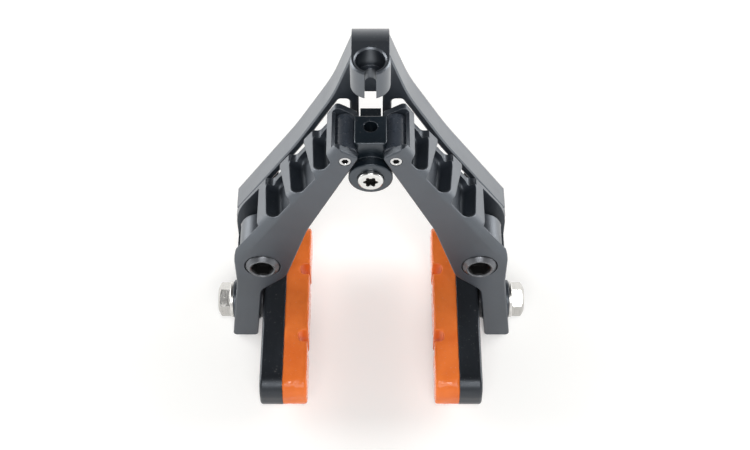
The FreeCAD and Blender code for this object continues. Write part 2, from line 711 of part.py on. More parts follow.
def stop_hollow():
    """Bore for the housing end and the slot that lets the cable in from the front."""
    bore = z_cylinder(STOP_BORE_RADIUS, 0, STOP_AXIS_Y, STOP_BOTTOM + STOP_FLOOR, STOP_TOP)
    mouth = Part.makeCone(STOP_BORE_RADIUS, STOP_BORE_RADIUS + STOP_EDGE, STOP_EDGE,
                          V(0, STOP_AXIS_Y, STOP_TOP - STOP_EDGE), V(0, 0, 1))
    half = STOP_SLOT_HALF_WIDTH
    end = STOP_AXIS_Y + STOP_SLOT_PAST_AXIS
    front = STOP_AXIS_Y - STOP_BARREL_RADIUS - CUTTER_OVERRUN
    slot = box(-half, half, front, end, STOP_BOTTOM, STOP_TOP)
    round_end = z_cylinder(half, 0, end, STOP_BOTTOM, STOP_TOP)
    return [bore, mouth, slot, round_end]


def make_yoke():
    """Rear yoke with the housing stop, the guide slot, the pivot eyes and spring holes."""
    yoke = yoke_plate().fuse(housing_stop()).removeSplitter()
    cutters = stop_hollow()
    end = spring_point(SPRING_TURNS)
    for side in (1, -1):
        cutters.append(y_cylinder(BOLT_HOLE_RADIUS, side * PIVOT_X, 0, YOKE_FRONT, 0))
        cutters.append(y_cylinder(SPRING_WIRE / 2 + PIN_SEAT_CLEARANCE, side * end.x, end.z,
                                  YOKE_FRONT, YOKE_FRONT + SPRING_ANCHOR_DEPTH))
    return yoke.cut(cutters)


def make_mounting_bolt():
    """Socket-head bolt that clamps the bushing and yoke to the frame."""
    centre = PIVOT + V(0, HEAD_SEAT, 0)
    top = ARM_FRONT - BOLT_HEAD_PROUD - HEAD_SEAT
    mounting_face = -HEAD_SEAT
    reach = mounting_face + BOLT_THREAD_REACH
    bevel = BOLT_HEAD_CHAMFER
    profile = [
        (0, top),
        (BOLT_HEAD_RADIUS - bevel, top),
        (BOLT_HEAD_RADIUS, top + bevel),
        (BOLT_HEAD_RADIUS, 0),
        (BOLT_SHANK_RADIUS, 0),
        (BOLT_SHANK_RADIUS, mounting_face),
        (BOLT_THREAD_RADIUS, mounting_face),
        (BOLT_THREAD_RADIUS, reach - BOLT_TIP_CHAMFER),
        (BOLT_THREAD_RADIUS - BOLT_TIP_CHAMFER, reach),
        (0, reach),
    ]
    bolt = revolved(profile, centre, V(0, 1, 0), V(1, 0, 0))
    face = centre + V(0, top, 0)
    socket = hexagon(face, V(0, 1, 0), V(1, 0, 0), HEX_SOCKET_FLATS, HEX_SOCKET_DEPTH)
    mouth_radius = HEX_SOCKET_FLATS / math.sqrt(3) + SOCKET_MOUTH_CHAMFER
    mouth = Part.makeCone(mouth_radius, mouth_radius - 2 * SOCKET_MOUTH_CHAMFER,
                          2 * SOCKET_MOUTH_CHAMFER, face, V(0, 1, 0))
    return bolt.cut([socket, mouth])


def make_bushing():
    """Sleeve between the bolt head and the yoke, on which the arm turns."""
    sleeve = y_cylinder(BUSHING_RADIUS, PIVOT_X, 0, HEAD_SEAT, YOKE_FRONT)
    return sleeve.cut(y_cylinder(BUSHING_BORE, PIVOT_X, 0, HEAD_SEAT, YOKE_FRONT))


def make_thrust_washer():
    """Ring between the arm and the yoke, seated on the yoke."""
    front = YOKE_FRONT - THRUST_WASHER_THICKNESS
    ring = y_cylinder(THRUST_WASHER_RADIUS, PIVOT_X, 0, front, YOKE_FRONT)
    return ring.cut(y_cylinder(PIVOT_BORE, PIVOT_X, 0, front, YOKE_FRONT))


def make_return_spring():
    """Torsion spring round the hub tube: a straight free leg, the coil and the leg in the yoke."""
    wire = SPRING_WIRE / 2
    start = spring_point(0)
    leg_direction = V(0, -SPRING_PITCH, 2 * math.pi * SPRING_RADIUS).normalize()
    leg_end = start + leg_direction * SPRING_FREE_LEG
    path = [Part.LineSegment(leg_end, start).toShape()]
    count = math.ceil(SPRING_TURNS * SPRING_ARCS_PER_TURN)
    step = SPRING_TURNS / count
    for i in range(count):
        first = spring_point(i * step)
        middle = spring_point((i + 0.5) * step)
        last = spring_point((i + 1) * step)
        path.append(Part.Arc(first, middle, last).toShape())
    section = Part.Wire(Part.makeCircle(wire, leg_end, leg_direction))
    coil = Part.Wire(path).makePipeShell([section], True, True)
    end = spring_point(SPRING_TURNS)
    anchor = y_cylinder(wire, end.x, end.z, end.y, YOKE_FRONT + SPRING_ANCHOR_DEPTH)
    elbow = Part.makeSphere(wire, end)
    return coil.fuse([anchor, elbow])


def make_roller():
    """Plain roller on the pin at the inner end of the arm."""
    front = ROLLER_FRONT + ROLLER_SIDE_PLAY
    back = ROLLER_REAR - ROLLER_SIDE_PLAY
    roller = y_cylinder(ROLLER_RADIUS, ROLLER_X, ROLLER_RISE, front, back)
    rims = edges_where(roller, lambda p: abs(p.y - front) < 1e-4 or abs(p.y - back) < 1e-4)
    roller = roller.makeChamfer(WASHER_EDGE, rims)
    bore = ROLLER_PIN_RADIUS + ROLLER_BORE_CLEARANCE
    return roller.cut(y_cylinder(bore, ROLLER_X, ROLLER_RISE, front, back))


def make_roller_pin():
    """Pin through the fork, with a small hex socket in its front end."""
    front = ARM_FRONT + PIN_RECESS
    back = ARM_REAR - PIN_RECESS
    pin = y_cylinder(ROLLER_PIN_RADIUS, ROLLER_X, ROLLER_RISE, front, back)
    rims = edges_where(pin, lambda p: abs(p.y - front) < 1e-4 or abs(p.y - back) < 1e-4)
    pin = pin.makeChamfer(PIN_RECESS, rims)
    face = ROLLER + V(0, front, 0)
    return pin.cut(hexagon(face, V(0, 1, 0), V(1, 0, 0), PIN_SOCKET_FLATS, PIN_SOCKET_DEPTH))


def shoe_outline(x, length, height, radius):
    """Side outline of a pad or holder with rounded ends, at a distance from the middle."""
    front = PAD_CENTRE_Y - length / 2
    back = PAD_CENTRE_Y + length / 2
    low = -PAD_DROP - height / 2
    high = -PAD_DROP + height / 2
    return [(V(x, front, low), radius), (V(x, back, low), radius),
            (V(x, back, high), radius), (V(x, front, high), radius)]


def make_pad():
    """Rubber pad with two upright grooves in its face and a key on its back."""
    face_x = PAD_GAP / 2
    pad = slab(shoe_outline(face_x, PAD_LENGTH, PAD_HEIGHT, PAD_CORNER_RADIUS), V(PAD_THICKNESS, 0, 0))
    rim = edges_where(pad, lambda p: abs(p.x - face_x) < 1e-4)
    pad = pad.makeFillet(PAD_EDGE, rim)
    below = -PAD_DROP - PAD_HEIGHT
    for shift in PAD_GROOVE_SHIFTS:
        y = PAD_CENTRE_Y + shift
        half = PAD_GROOVE_WIDTH / 2
        floor = face_x + PAD_GROOVE_DEPTH
        corners = [
            (V(face_x - CUTTER_OVERRUN, y - half, below), 0),
            (V(face_x - CUTTER_OVERRUN, y + half, below), 0),
            (V(floor, y + half, below), PAD_GROOVE_FLOOR_RADIUS),
            (V(floor, y - half, below), PAD_GROOVE_FLOOR_RADIUS),
        ]
        pad = pad.cut(slab(corners, V(0, 0, 2 * PAD_HEIGHT)))
    back_x = face_x + PAD_THICKNESS
    key_length = PAD_LENGTH - 2 * PAD_KEY_END
    key = slab(shoe_outline(back_x, key_length, PAD_KEY_HEIGHT, PAD_KEY_HEIGHT / 2 - PAD_EDGE),
               V(PAD_KEY_DEPTH, 0, 0))
    screw = pad_screw_cylinder(PAD_SCREW_RADIUS + PIN_SEAT_CLEARANCE)
    return pad.fuse(key).removeSplitter().cut(screw)


def make_holder():
    """Holder with a recess for the pad's key and a threaded hole for the pad bolt."""
    holder = slab(shoe_outline(HOLDER_INNER_X, PAD_LENGTH, PAD_HEIGHT, PAD_CORNER_RADIUS),
                  V(HOLDER_THICKNESS, 0, 0))
    rim = edges_where(holder, lambda p: abs(p.x - HOLDER_OUTER_X) < 1e-4)
    holder = holder.makeFillet(HOLDER_EDGE, rim)
    key_length = PAD_LENGTH - 2 * PAD_KEY_END + 2 * PAD_KEY_CLEARANCE
    key_height = PAD_KEY_HEIGHT + 2 * PAD_KEY_CLEARANCE
    recess = slab(shoe_outline(HOLDER_INNER_X, key_length, key_height, key_height / 2 - PAD_EDGE),
                  V(PAD_KEY_DEPTH + PAD_KEY_CLEARANCE, 0, 0))
    hole = x_cylinder(PAD_BOLT_RADIUS + PIN_SEAT_CLEARANCE, PAD_BOLT_Y, -PAD_DROP,
                      HOLDER_INNER_X, HOLDER_OUTER_X)
    return holder.cut([recess, hole, pad_screw_cylinder(PAD_SCREW_RADIUS + PIN_SEAT_CLEARANCE)])


def pad_screw_cylinder(radius):
    """Space of the set screw, from the back of the holder into the pad's key."""
    start = HOLDER_INNER_X + PAD_KEY_DEPTH - PAD_SCREW_BITE
    return x_cylinder(radius, PAD_CENTRE_Y + PAD_SCREW_SHIFT, -PAD_DROP, start, HOLDER_OUTER_X)


def make_pad_screw():
    """Set screw that locks the pad in its holder."""
    screw = pad_screw_cylinder(PAD_SCREW_RADIUS)
    face = V(HOLDER_OUTER_X, PAD_CENTRE_Y + PAD_SCREW_SHIFT, -PAD_DROP)
    depth = HOLDER_OUTER_X - HOLDER_INNER_X - PAD_KEY_DEPTH
    return screw.cut(hexagon(face, V(-1, 0, 0), V(0, 1, 0), PAD_SCREW_SOCKET_FLATS, depth / 2))


def make_pad_bolt():
    """Hex-head bolt through the leg into the holder."""
    seat = LEG_OUTER_SEAT_X + OUTER_WASHER_THICKNESS
    centre = V(seat, PAD_BOLT_Y, -PAD_DROP)
    head = hexagon(centre, V(1, 0, 0), V(0, 0, 1), PAD_BOLT_HEAD_FLATS, PAD_BOLT_HEAD_HEIGHT)
    corner = PAD_BOLT_HEAD_FLATS / math.sqrt(3)
    height = PAD_BOLT_HEAD_HEIGHT
    bevel = PAD_BOLT_HEAD_CHAMFER
    profile = [
        (0, 0),
        (corner, 0),
        (corner, height - bevel),
        (corner - PAD_BOLT_HEAD_TOP_INSET, height),
        (0, height),
    ]
    envelope = revolved(profile, centre, V(1, 0, 0), V(0, 0, 1))
    head = head.common(envelope)
    face = centre + V(height, 0, 0)
    head = head.cut(hexagon(face, V(-1, 0, 0), V(0, 0, 1), PAD_BOLT_SOCKET_FLATS, PAD_BOLT_SOCKET_DEPTH))
    tip = HOLDER_INNER_X + PAD_KEY_DEPTH + 2 * PAD_KEY_CLEARANCE
    shank = x_cylinder(PAD_BOLT_RADIUS, PAD_BOLT_Y, -PAD_DROP, tip, seat)
    return head.fuse(shank).removeSplitter()


def washer(radius, hole, start, thickness):
    """Flat ring on the pad bolt, with bevelled outer rims."""
    ring = x_cylinder(radius, PAD_BOLT_Y, -PAD_DROP, start, start + thickness)
    rims = edges_where(ring, lambda p: abs(p.x - start) < 1e-4 or abs(p.x - start - thickness) < 1e-4)
    ring = ring.makeChamfer(WASHER_EDGE, rims)
    return ring.cut(x_cylinder(hole, PAD_BOLT_Y, -PAD_DROP, start, start + thickness))


def make_carriage():
    """Cam carriage: flanks that spread the rollers, round boss, and a guide at the back."""
    front = ARM_FRONT + CARRIAGE_FRONT_RECESS
    back = ARM_FRONT + CARRIAGE_BACK
    reach = ROLLER_RADIUS + CARRIAGE_FLANK_CLEARANCE
    closing = math.radians(CLOSING_ANGLE)
    travel = xz(ROLLER_RISE * closing, ROLLER_INSET * closing - CARRIAGE_LIFT)
    run = travel.normalize()
    inward = xz(run.z, -run.x)
    contact = ROLLER + inward * reach
    flank_end = contact + travel
    head_corner = xz(CARRIAGE_HEAD_HALF_WIDTH, ROLLER_RISE + math.sqrt(
        reach ** 2 - (ROLLER_X - CARRIAGE_HEAD_HALF_WIDTH) ** 2))
    waist = ROLLER + (head_corner + contact - ROLLER * 2).normalize() * reach
    top = xz(CARRIAGE_HEAD_HALF_WIDTH, CARRIAGE_TOP)
    low = xz(0, BOSS_HEIGHT)
    station = V(0, front, 0)

    def left(p):
        return xz(-p.x, p.z)

    edges = [
        Part.LineSegment(left(top) + station, top + station).toShape(),
        Part.LineSegment(top + station, head_corner + station).toShape(),
        Part.Arc(head_corner + station, waist + station, contact + station).toShape(),
        Part.LineSegment(contact + station, flank_end + station).toShape(),
        Part.LineSegment(flank_end + station, low + station).toShape(),
        Part.LineSegment(low + station, left(flank_end) + station).toShape(),
        Part.LineSegment(left(flank_end) + station, left(contact) + station).toShape(),
        Part.Arc(left(contact) + station, left(waist) + station, left(head_corner) + station).toShape(),
        Part.LineSegment(left(head_corner) + station, left(top) + station).toShape(),
    ]
    body = Part.Face(Part.Wire(edges)).extrude(V(0, back - front, 0))
    corners = edges_where(body, lambda p: abs(abs(p.x) - top.x) < 1e-4 and abs(p.y - front) < 1e-4)
    body = body.makeFillet(CARRIAGE_CORNER_RADIUS, corners)
    rims = edges_where(body, lambda p: on_level(p, CARRIAGE_TOP))
    body = body.makeFillet(CARRIAGE_EDGE, rims)
    body = body.fuse(y_cylinder(CARRIAGE_BODY_BOSS_RADIUS, 0, BOSS_HEIGHT, front, back))

    disc_back = ROLLER_FRONT - ROLLER_SIDE_PLAY
    disc = y_cylinder(CARRIAGE_BOSS_RADIUS, 0, BOSS_HEIGHT, ARM_FRONT, disc_back)
    rim = edges_where(disc, lambda p: abs(p.y - ARM_FRONT) < 1e-4)
    disc = disc.makeFillet(CARRIAGE_BOSS_CHAMFER, rim)
    neck = y_cylinder(CARRIAGE_BODY_BOSS_RADIUS, 0, BOSS_HEIGHT, disc_back, front)
    guide_bottom = BOSS_HEIGHT - CARRIAGE_BODY_BOSS_RADIUS + CARRIAGE_EDGE
    guide = box(-GUIDE_HALF_WIDTH, GUIDE_HALF_WIDTH, back - CARRIAGE_EDGE, ARM_FRONT + GUIDE_BACK,
                guide_bottom, GUIDE_TOP)
    guide_rims = edges_where(guide, lambda p: abs(p.y - ARM_FRONT - GUIDE_BACK) < 1e-4)
    guide = guide.makeFillet(CARRIAGE_EDGE, guide_rims)
    body = body.fuse([disc, neck, guide])

    hole = z_cylinder(CABLE_HOLE_RADIUS, 0, CABLE_Y, 0, CARRIAGE_TOP)
    sunk = y_cylinder(CLAMP_HEAD_RADIUS + CLAMP_HEAD_CLEARANCE, 0, BOSS_HEIGHT,
                      ARM_FRONT, ARM_FRONT + CLAMP_HEAD_SUNK)
    bore = y_cylinder(CLAMP_BOLT_RADIUS + CLAMP_BOLT_CLEARANCE, 0, BOSS_HEIGHT, ARM_FRONT, CABLE_Y)
    return body.cut([hole, sunk, bore])


def clamp_tip():
    """Station where the clamp bolt ends and the clamp plate starts."""
    return CABLE_Y - CABLE_HOLE_RADIUS - CLAMP_PLATE_THICKNESS


def make_clamp_bolt():
    """Clamp bolt with a domed head and a star socket."""
    face = ARM_FRONT - CLAMP_HEAD_PROUD
    seat = ARM_FRONT + CLAMP_HEAD_SUNK
    head = y_cylinder(CLAMP_HEAD_RADIUS, 0, BOSS_HEIGHT, face, seat)
    rim = edges_where(head, lambda p: abs(p.y - face) < 1e-4)
    head = head.makeFillet(CLAMP_HEAD_PROUD / 2, rim)
    shank = y_cylinder(CLAMP_BOLT_RADIUS, 0, BOSS_HEIGHT, seat, clamp_tip())
    return head.fuse(shank).cut(star_socket(V(0, face, BOSS_HEIGHT)))


def star_socket(face):
    """Six-pointed socket: a round core with a round lobe at each point."""
    lobe = STAR_SOCKET_RADIUS * math.sin(math.pi / STAR_POINTS) / 2
    core = y_cylinder(STAR_SOCKET_RADIUS - lobe, face.x, face.z, face.y, face.y + STAR_SOCKET_DEPTH)
    lobes = []
    for i in range(STAR_POINTS):
        angle = 2 * math.pi * i / STAR_POINTS
        reach = STAR_SOCKET_RADIUS - lobe
        lobes.append(y_cylinder(lobe, face.x + reach * math.cos(angle), face.z + reach * math.sin(angle),
                                face.y, face.y + STAR_SOCKET_DEPTH))
    return core.fuse(lobes)


def make_clamp_plate():
    """Disc that the clamp bolt presses on the cable."""
    start = clamp_tip()
    return y_cylinder(CLAMP_PLATE_RADIUS, 0, BOSS_HEIGHT, start, start + CLAMP_PLATE_THICKNESS)


def main():
    """Build every piece and write it."""
    os.makedirs("parts", exist_ok=True)
    export(make_yoke(), "yoke_frame")
    export_pair(make_mounting_bolt(), "mounting_bolt")
    export_pair(make_bushing(), "pivot_bushing")
    export_pair(make_thrust_washer(), "thrust_washer")
    export_pair(make_return_spring(), "return_spring")
    export_pair(make_arm(), "arm")
    export_pair(make_roller(), "roller")
    export_pair(make_roller_pin(), "roller_pin")
    export_pair(make_pad(), "brake_pad")
    export_pair(make_holder(), "pad_holder")
    export_pair(make_pad_screw(), "pad_screw")
    export_pair(make_pad_bolt(), "pad_bolt")
    hole = PAD_BOLT_RADIUS + WASHER_HOLE_CLEARANCE
    export_pair(washer(DISHED_WASHER_RADIUS, hole, HOLDER_OUTER_X, DISHED_WASHER_THICKNESS),
                "dished_washer")
    export_pair(washer(OUTER_WASHER_RADIUS, hole, LEG_OUTER_SEAT_X, OUTER_WASHER_THICKNESS),
                "outer_washer")
    export(make_carriage(), "cam_carriage")
    export(make_clamp_bolt(), "cable_clamp_bolt")
    export(make_clamp_plate(), "cable_clamp_plate")


if __name__ == "__main__":
    main()
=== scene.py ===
"""Looks of a roller-cam caliper brake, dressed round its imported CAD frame."""

import logging
import math
from dataclasses import dataclass
from enum import Enum
from functools import lru_cache

import bmesh
import bpy
from mathutils import Matrix, Vector


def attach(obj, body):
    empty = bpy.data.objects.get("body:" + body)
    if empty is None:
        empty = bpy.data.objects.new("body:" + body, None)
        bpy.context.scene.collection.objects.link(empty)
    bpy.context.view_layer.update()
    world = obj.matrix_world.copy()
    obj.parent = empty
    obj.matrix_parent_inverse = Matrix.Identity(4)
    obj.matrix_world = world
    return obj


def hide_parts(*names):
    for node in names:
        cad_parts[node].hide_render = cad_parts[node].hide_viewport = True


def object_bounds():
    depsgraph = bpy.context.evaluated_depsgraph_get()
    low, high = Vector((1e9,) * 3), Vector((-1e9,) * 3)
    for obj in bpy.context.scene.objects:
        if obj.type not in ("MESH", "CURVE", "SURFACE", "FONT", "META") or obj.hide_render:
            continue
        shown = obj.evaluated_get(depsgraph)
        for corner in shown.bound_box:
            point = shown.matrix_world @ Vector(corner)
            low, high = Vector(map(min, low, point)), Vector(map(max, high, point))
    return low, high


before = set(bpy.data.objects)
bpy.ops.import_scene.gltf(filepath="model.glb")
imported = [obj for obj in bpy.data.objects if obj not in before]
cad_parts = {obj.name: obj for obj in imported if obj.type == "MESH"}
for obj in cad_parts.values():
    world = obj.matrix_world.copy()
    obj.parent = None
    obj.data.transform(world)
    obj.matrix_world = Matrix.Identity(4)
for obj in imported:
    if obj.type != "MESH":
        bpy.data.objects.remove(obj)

log = logging.getLogger("caliper_brake")

Colour = tuple[float, float, float]
Point = tuple[float, float, float]
Range = tuple[float, float]
Node = bpy.types.Node
Socket = bpy.types.NodeSocket
Sockets = bpy.types.bpy_prop_collection
Tree = bpy.types.NodeTree
Material = bpy.types.Material

MM = 0.001
CAD_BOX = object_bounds()
SIDES = ("right", "left")

# How far apart two corners of loose triangles may lie to be joined.
JOIN_DISTANCE = 0.0005 * MM

# Ranges that the shared effects spread to 0 and 1.
EDGE_TURN = (0.995, 0.8)
BREAK_NOISE = (0.35, 0.6)
TONE_NOISE = (0.3, 0.7)
SMEAR_NOISE = (0.45, 0.72)
SPECK_NOISE = (0.66, 0.74)
FACES_UP = (0.3, 1.0)

# Other settings of the shared effects. Rates and stretches are against the size they are given.
BEVEL_SAMPLES = 6
LEAST_EDGE_MARK = 0.25
BRUSH_STRETCH = 0.02
SLOW_LINE_RATE = 0.2
SMEAR_STRETCH = 0.35
SPECK_RATE = 9.0
SOCKET_LIP = 0.1 * MM


class Mixed(Enum):
    """What a Mix node mixes, with the places of its two inputs and of its result."""

    COLOUR = ("RGBA", 6, 7, 2)
    VECTOR = ("VECTOR", 4, 5, 1)


class Graph:
    """A node tree with short calls to add and join its nodes."""

    def __init__(self, tree: Tree) -> None:
        """Takes the tree to fill.

        Args:
            tree: Shader or geometry node tree.
        """
        self.tree = tree

    def add(self, kind: str, **settings: object) -> Node:
        """Adds a node.

        Args:
            kind: Blender's node type.
            settings: Properties of the node.

        Returns:
            The new node.
        """
        node = self.tree.nodes.new(kind)
        for name, value in settings.items():
            setattr(node, name, value)
        return node

    def link(self, source: Socket, target: Socket) -> None:
        """Joins an output to an input.

        Args:
            source: Output socket.
            target: Input socket.
        """
        self.tree.links.new(source, target)

    def feed(self, target: Socket, value: object) -> None:
        """Sets an input to a number or joins it to an output.

        Args:
            target: Input socket.
            value: Output socket, number or vector.
        """
        if isinstance(value, Socket):
            self.link(value, target)
        else:
            target.default_value = value

    def math(self, operation: str, *values: object) -> Socket:
        """Adds a math node.

        Args:
            operation: Name of the operation.
            values: Output sockets or numbers, in order.

        Returns:
            The result's socket.
        """
        node = self.add("ShaderNodeMath", operation=operation)
        for target, value in zip(node.inputs, values):
            self.feed(target, value)
        return node.outputs[0]

    def vector(self, operation: str, *values: object) -> Socket:
        """Adds a vector math node.

        Args:
            operation: Name of the operation.
            values: Output sockets or vectors, in order.

        Returns:
            The result's socket, a number for dot products and lengths and otherwise a vector.
        """
        node = self.add("ShaderNodeVectorMath", operation=operation)
        for target, value in zip(node.inputs, values):
            self.feed(target, value)
        return node.outputs["Value" if operation in ("DOT_PRODUCT", "LENGTH") else "Vector"]

    def split(self, vector: Socket) -> Sockets:
        """Splits a vector.

        Args:
            vector: Socket of the vector.

        Returns:
            The sockets of X, Y and Z.
        """
        node = self.add("ShaderNodeSeparateXYZ")
        self.link(vector, node.inputs[0])
        return node.outputs

    def combine(self, x: object = 0.0, y: object = 0.0, z: object = 0.0) -> Socket:
        """Makes a vector.

        Args:
            x: Number or socket.
            y: Number or socket.
            z: Number or socket.

        Returns:
            The vector's socket.
        """
        node = self.add("ShaderNodeCombineXYZ")
        for target, value in zip(node.inputs, (x, y, z)):
            self.feed(target, value)
        return node.outputs[0]

    def radius(self, vector: Socket) -> Socket:
        """Measures how far a point lies from the Z axis.

        Args:
            vector: Socket of the point.

        Returns:
            The distance's socket.
        """
        return self.vector("LENGTH", self.vector("MULTIPLY", vector, (1, 1, 0)))

    def here(self) -> Socket:
        """Adds the shaded point in the object's own axes.

        Returns:
            The point's socket.
        """
        return self.add("ShaderNodeTexCoord").outputs["Object"]

    def noise(self, size: object, where: Socket, detail: float, rate: float = 1.0) -> Socket:
        """Adds a 3-D noise.

        Args:
            size: Number or socket of the pattern's size in metres.
            where: Socket of the place that the noise is read at.
            detail: Octaves.
            rate: How many times finer than the size it is.

        Returns:
            The noise value's socket, around 0.5.
        """
        scale = self.math("DIVIDE", 1.0, size)
        if rate != 1.0:
            scale = self.math("MULTIPLY", scale, rate)
        node = self.add("ShaderNodeTexNoise")
        self.link(scale, node.inputs["Scale"])
        node.inputs["Detail"].default_value = detail
        self.link(where, node.inputs["Vector"])
        return node.outputs["Fac"]

    def spread(self, value: Socket, span: tuple[object, object], to: Range = (0, 1)) -> Socket:
        """Maps a range to another and clamps it.

        Args:
            value: Socket to map.
            span: Start and end of its range, as numbers or sockets.
            to: New start and end.

        Returns:
            The mapped value's socket.
        """
        node = self.add("ShaderNodeMapRange")
        labels = ("Value", "From Min", "From Max", "To Min", "To Max")
        for label, item in zip(labels, (value, *span, *to)):
            self.feed(node.inputs[label], item)
        return node.outputs[0]

    def mix(
        self, share: Socket, first: object, second: object, kind: Mixed = Mixed.COLOUR
    ) -> Socket:
        """Mixes two colours or two vectors.

        Args:
            share: How much of the second.
            first: Socket or colour.
            second: Socket or colour.
            kind: What is mixed.

        Returns:
            The result's socket.
        """
        data_type, first_place, second_place, result_place = kind.value
        node = self.add("ShaderNodeMix", data_type=data_type)
        self.link(share, node.inputs[0])
        for place, value in ((first_place, first), (second_place, second)):
            self.feed(node.inputs[place], (*value, 1) if isinstance(value, tuple) else value)
        return node.outputs[result_place]

    def place(self, group: Tree, **values: object) -> Sockets:
        """Places a shared node group.

        Args:
            group: The group.
            values: Its inputs by name, with _ for a space.

        Returns:
            The outputs of the group's node.
        """
        node = self.add("ShaderNodeGroup", node_tree=group)
        for name, value in values.items():
            self.feed(node.inputs[name.replace("_", " ")], value)
        return node.outputs

    def bump(
        self, shader: Node, height: Socket, normal: Socket, strength: float, depth: float
    ) -> None:
        """Joins a bump to a shader's normal.

        Args:
            shader: The shader.
            height: Socket of the height.
            normal: Socket of the normal under the bump.
            strength: How much of the bump shows.
            depth: Depth of a full height in metres.
        """
        node = self.add("ShaderNodeBump")
        node.inputs["Strength"].default_value = strength
        node.inputs["Distance"].default_value = depth
        self.link(height, node.inputs["Height"])
        self.link(normal, node.inputs["Normal"])
        self.link(node.outputs[0], shader.inputs["Normal"])


class TreeKind(Enum):
    """Kind of a node group."""

    SHADER = "ShaderNodeTree"
    GEOMETRY = "GeometryNodeTree"


def new_group(
    name: str, inputs: dict[str, str], outputs: dict[str, str], kind: TreeKind = TreeKind.SHADER
) -> tuple[Graph, Sockets, Sockets]:
    """Starts a node group.

    Args:
        name: Name of the group.
        inputs: Kind of each input socket, by name.
        outputs: Kind of each output socket, by name.
        kind: Kind of the group.

    Returns:
        The graph, what it is given and what it puts out.
    """
    tree = bpy.data.node_groups.new(name, kind.value)
    for way, sockets in (("INPUT", inputs), ("OUTPUT", outputs)):
        for label, socket in sockets.items():
            tree.interface.new_socket(label, in_out=way, socket_type="NodeSocket" + socket)
    graph = Graph(tree)
    return graph, graph.add("NodeGroupInput").outputs, graph.add("NodeGroupOutput").inputs


@lru_cache
def edge_rub_and_highlight() -> Tree:
    """Rubbed edges and painted edge highlights: a broken mask along sharp edges, and a normal that
    rounds them.

    Returns:
        The shader group.
    """
    graph, given, result = new_group(
        "edge_rub_and_highlight", {"Width": "Float", "Break Size": "Float"}, {"Mask": "Float", "Normal": "Vector"}
    )
    rounded = graph.add("ShaderNodeBevel", samples=BEVEL_SAMPLES)
    graph.link(given["Width"], rounded.inputs["Radius"])
    surface = graph.add("ShaderNodeNewGeometry").outputs["Normal"]
    edge = graph.spread(graph.vector("DOT_PRODUCT", rounded.outputs[0], surface), EDGE_TURN)
    uneven = graph.noise(given["Break Size"], graph.here(), detail=3)
    broken = graph.spread(uneven, BREAK_NOISE, (LEAST_EDGE_MARK, 1.0))
    graph.link(graph.math("MULTIPLY", edge, broken), result["Mask"])
    graph.link(rounded.outputs[0], result["Normal"])
    return graph.tree


@lru_cache
def blast_grain() -> Tree:
    """Grain of a blasted or moulded surface: a fine height, and a slow change of tone.

    Returns:
        The shader group.
    """
    graph, given, result = new_group(
        "blast_grain",
        {"Grain Size": "Float", "Cloud Size": "Float"},
        {"Height": "Float", "Tone": "Float"},
    )
    where = graph.here()
    graph.link(graph.noise(given["Grain Size"], where, detail=2), result["Height"])
    cloud = graph.noise(given["Cloud Size"], where, detail=3)
    graph.link(graph.spread(cloud, TONE_NOISE), result["Tone"])
    return graph.tree


@lru_cache
def tool_lines() -> Tree:
    """Fine lines that turning leaves round a local Z axis, or that brushing leaves along it.

    Returns:
        The shader group.
    """
    graph, given, result = new_group(
        "tool_lines",
        {"Vector": "Vector", "Pitch": "Float", "Along": "Float"},
        {"Height": "Float", "Tone": "Float"},
    )
    turned = graph.combine(graph.radius(given["Vector"]), graph.split(given["Vector"])[2])
    brushed = graph.vector("MULTIPLY", given["Vector"], (1, 1, BRUSH_STRETCH))
    where = graph.mix(given["Along"], turned, brushed, Mixed.VECTOR)
    graph.link(graph.noise(given["Pitch"], where, detail=1), result["Height"])
    slow = graph.noise(given["Pitch"], where, detail=2, rate=SLOW_LINE_RATE)
    graph.link(graph.spread(slow, TONE_NOISE), result["Tone"])
    return graph.tree


@lru_cache
def handling() -> Tree:
    """Marks of handling: faint smears everywhere and a little dust on what faces up.

    Returns:
        The shader group.
    """
    graph, given, result = new_group(
        "handling", {"Smear Size": "Float"}, {"Smear": "Float", "Dust": "Float"}
    )
    where = graph.here()
    stretched = graph.vector("MULTIPLY", where, (1, 1, SMEAR_STRETCH))
    smear = graph.noise(given["Smear Size"], stretched, detail=4)
    graph.link(graph.spread(smear, SMEAR_NOISE), result["Smear"])
    speck = graph.noise(given["Smear Size"], where, detail=2, rate=SPECK_RATE)
    surface = graph.add("ShaderNodeNewGeometry").outputs["Normal"]
    up = graph.spread(graph.split(surface)[2], FACES_UP)
    graph.link(graph.math("MULTIPLY", up, graph.spread(speck, SPECK_NOISE)), result["Dust"])
    return graph.tree


@lru_cache
def socket_painted_shade() -> Tree:
    """Painted shade that darkens a drive socket below the face of its screw.

    Returns:
        The shader group, whose Vector is measured from the middle of the face.
    """
    graph, given, result = new_group(
        "socket_painted_shade", {"Vector": "Vector", "Radius": "Float", "Depth": "Float"}, {"Mask": "Float"}
    )
    inside = graph.math("LESS_THAN", graph.radius(given["Vector"]), given["Radius"])
    depth = graph.math("ABSOLUTE", graph.split(given["Vector"])[2])
    sunk = graph.spread(depth, (SOCKET_LIP, given["Depth"]))
    graph.link(graph.math("MULTIPLY", inside, sunk), result["Mask"])
    return graph.tree


class Lay(Enum):
    """How a metal surface was finished."""

    TURNED = 0.0
    BRUSHED = 1.0


class Axis(Enum):
    """Turn that brings a piece's own axis to Z."""

    ALONG_X = (0.0, math.pi / 2, 0.0)
    ALONG_Y = (-math.pi / 2, 0.0, 0.0)


def new_material(name: str) -> tuple[Material, Graph, Node]:
    """Starts a material.

    Args:
        name: Name of the material.

    Returns:
        The material, its graph and its Principled shader.
    """
    material = bpy.data.materials.new(name)
    material.use_nodes = True
    graph = Graph(material.node_tree)
    return material, graph, material.node_tree.nodes["Principled BSDF"]


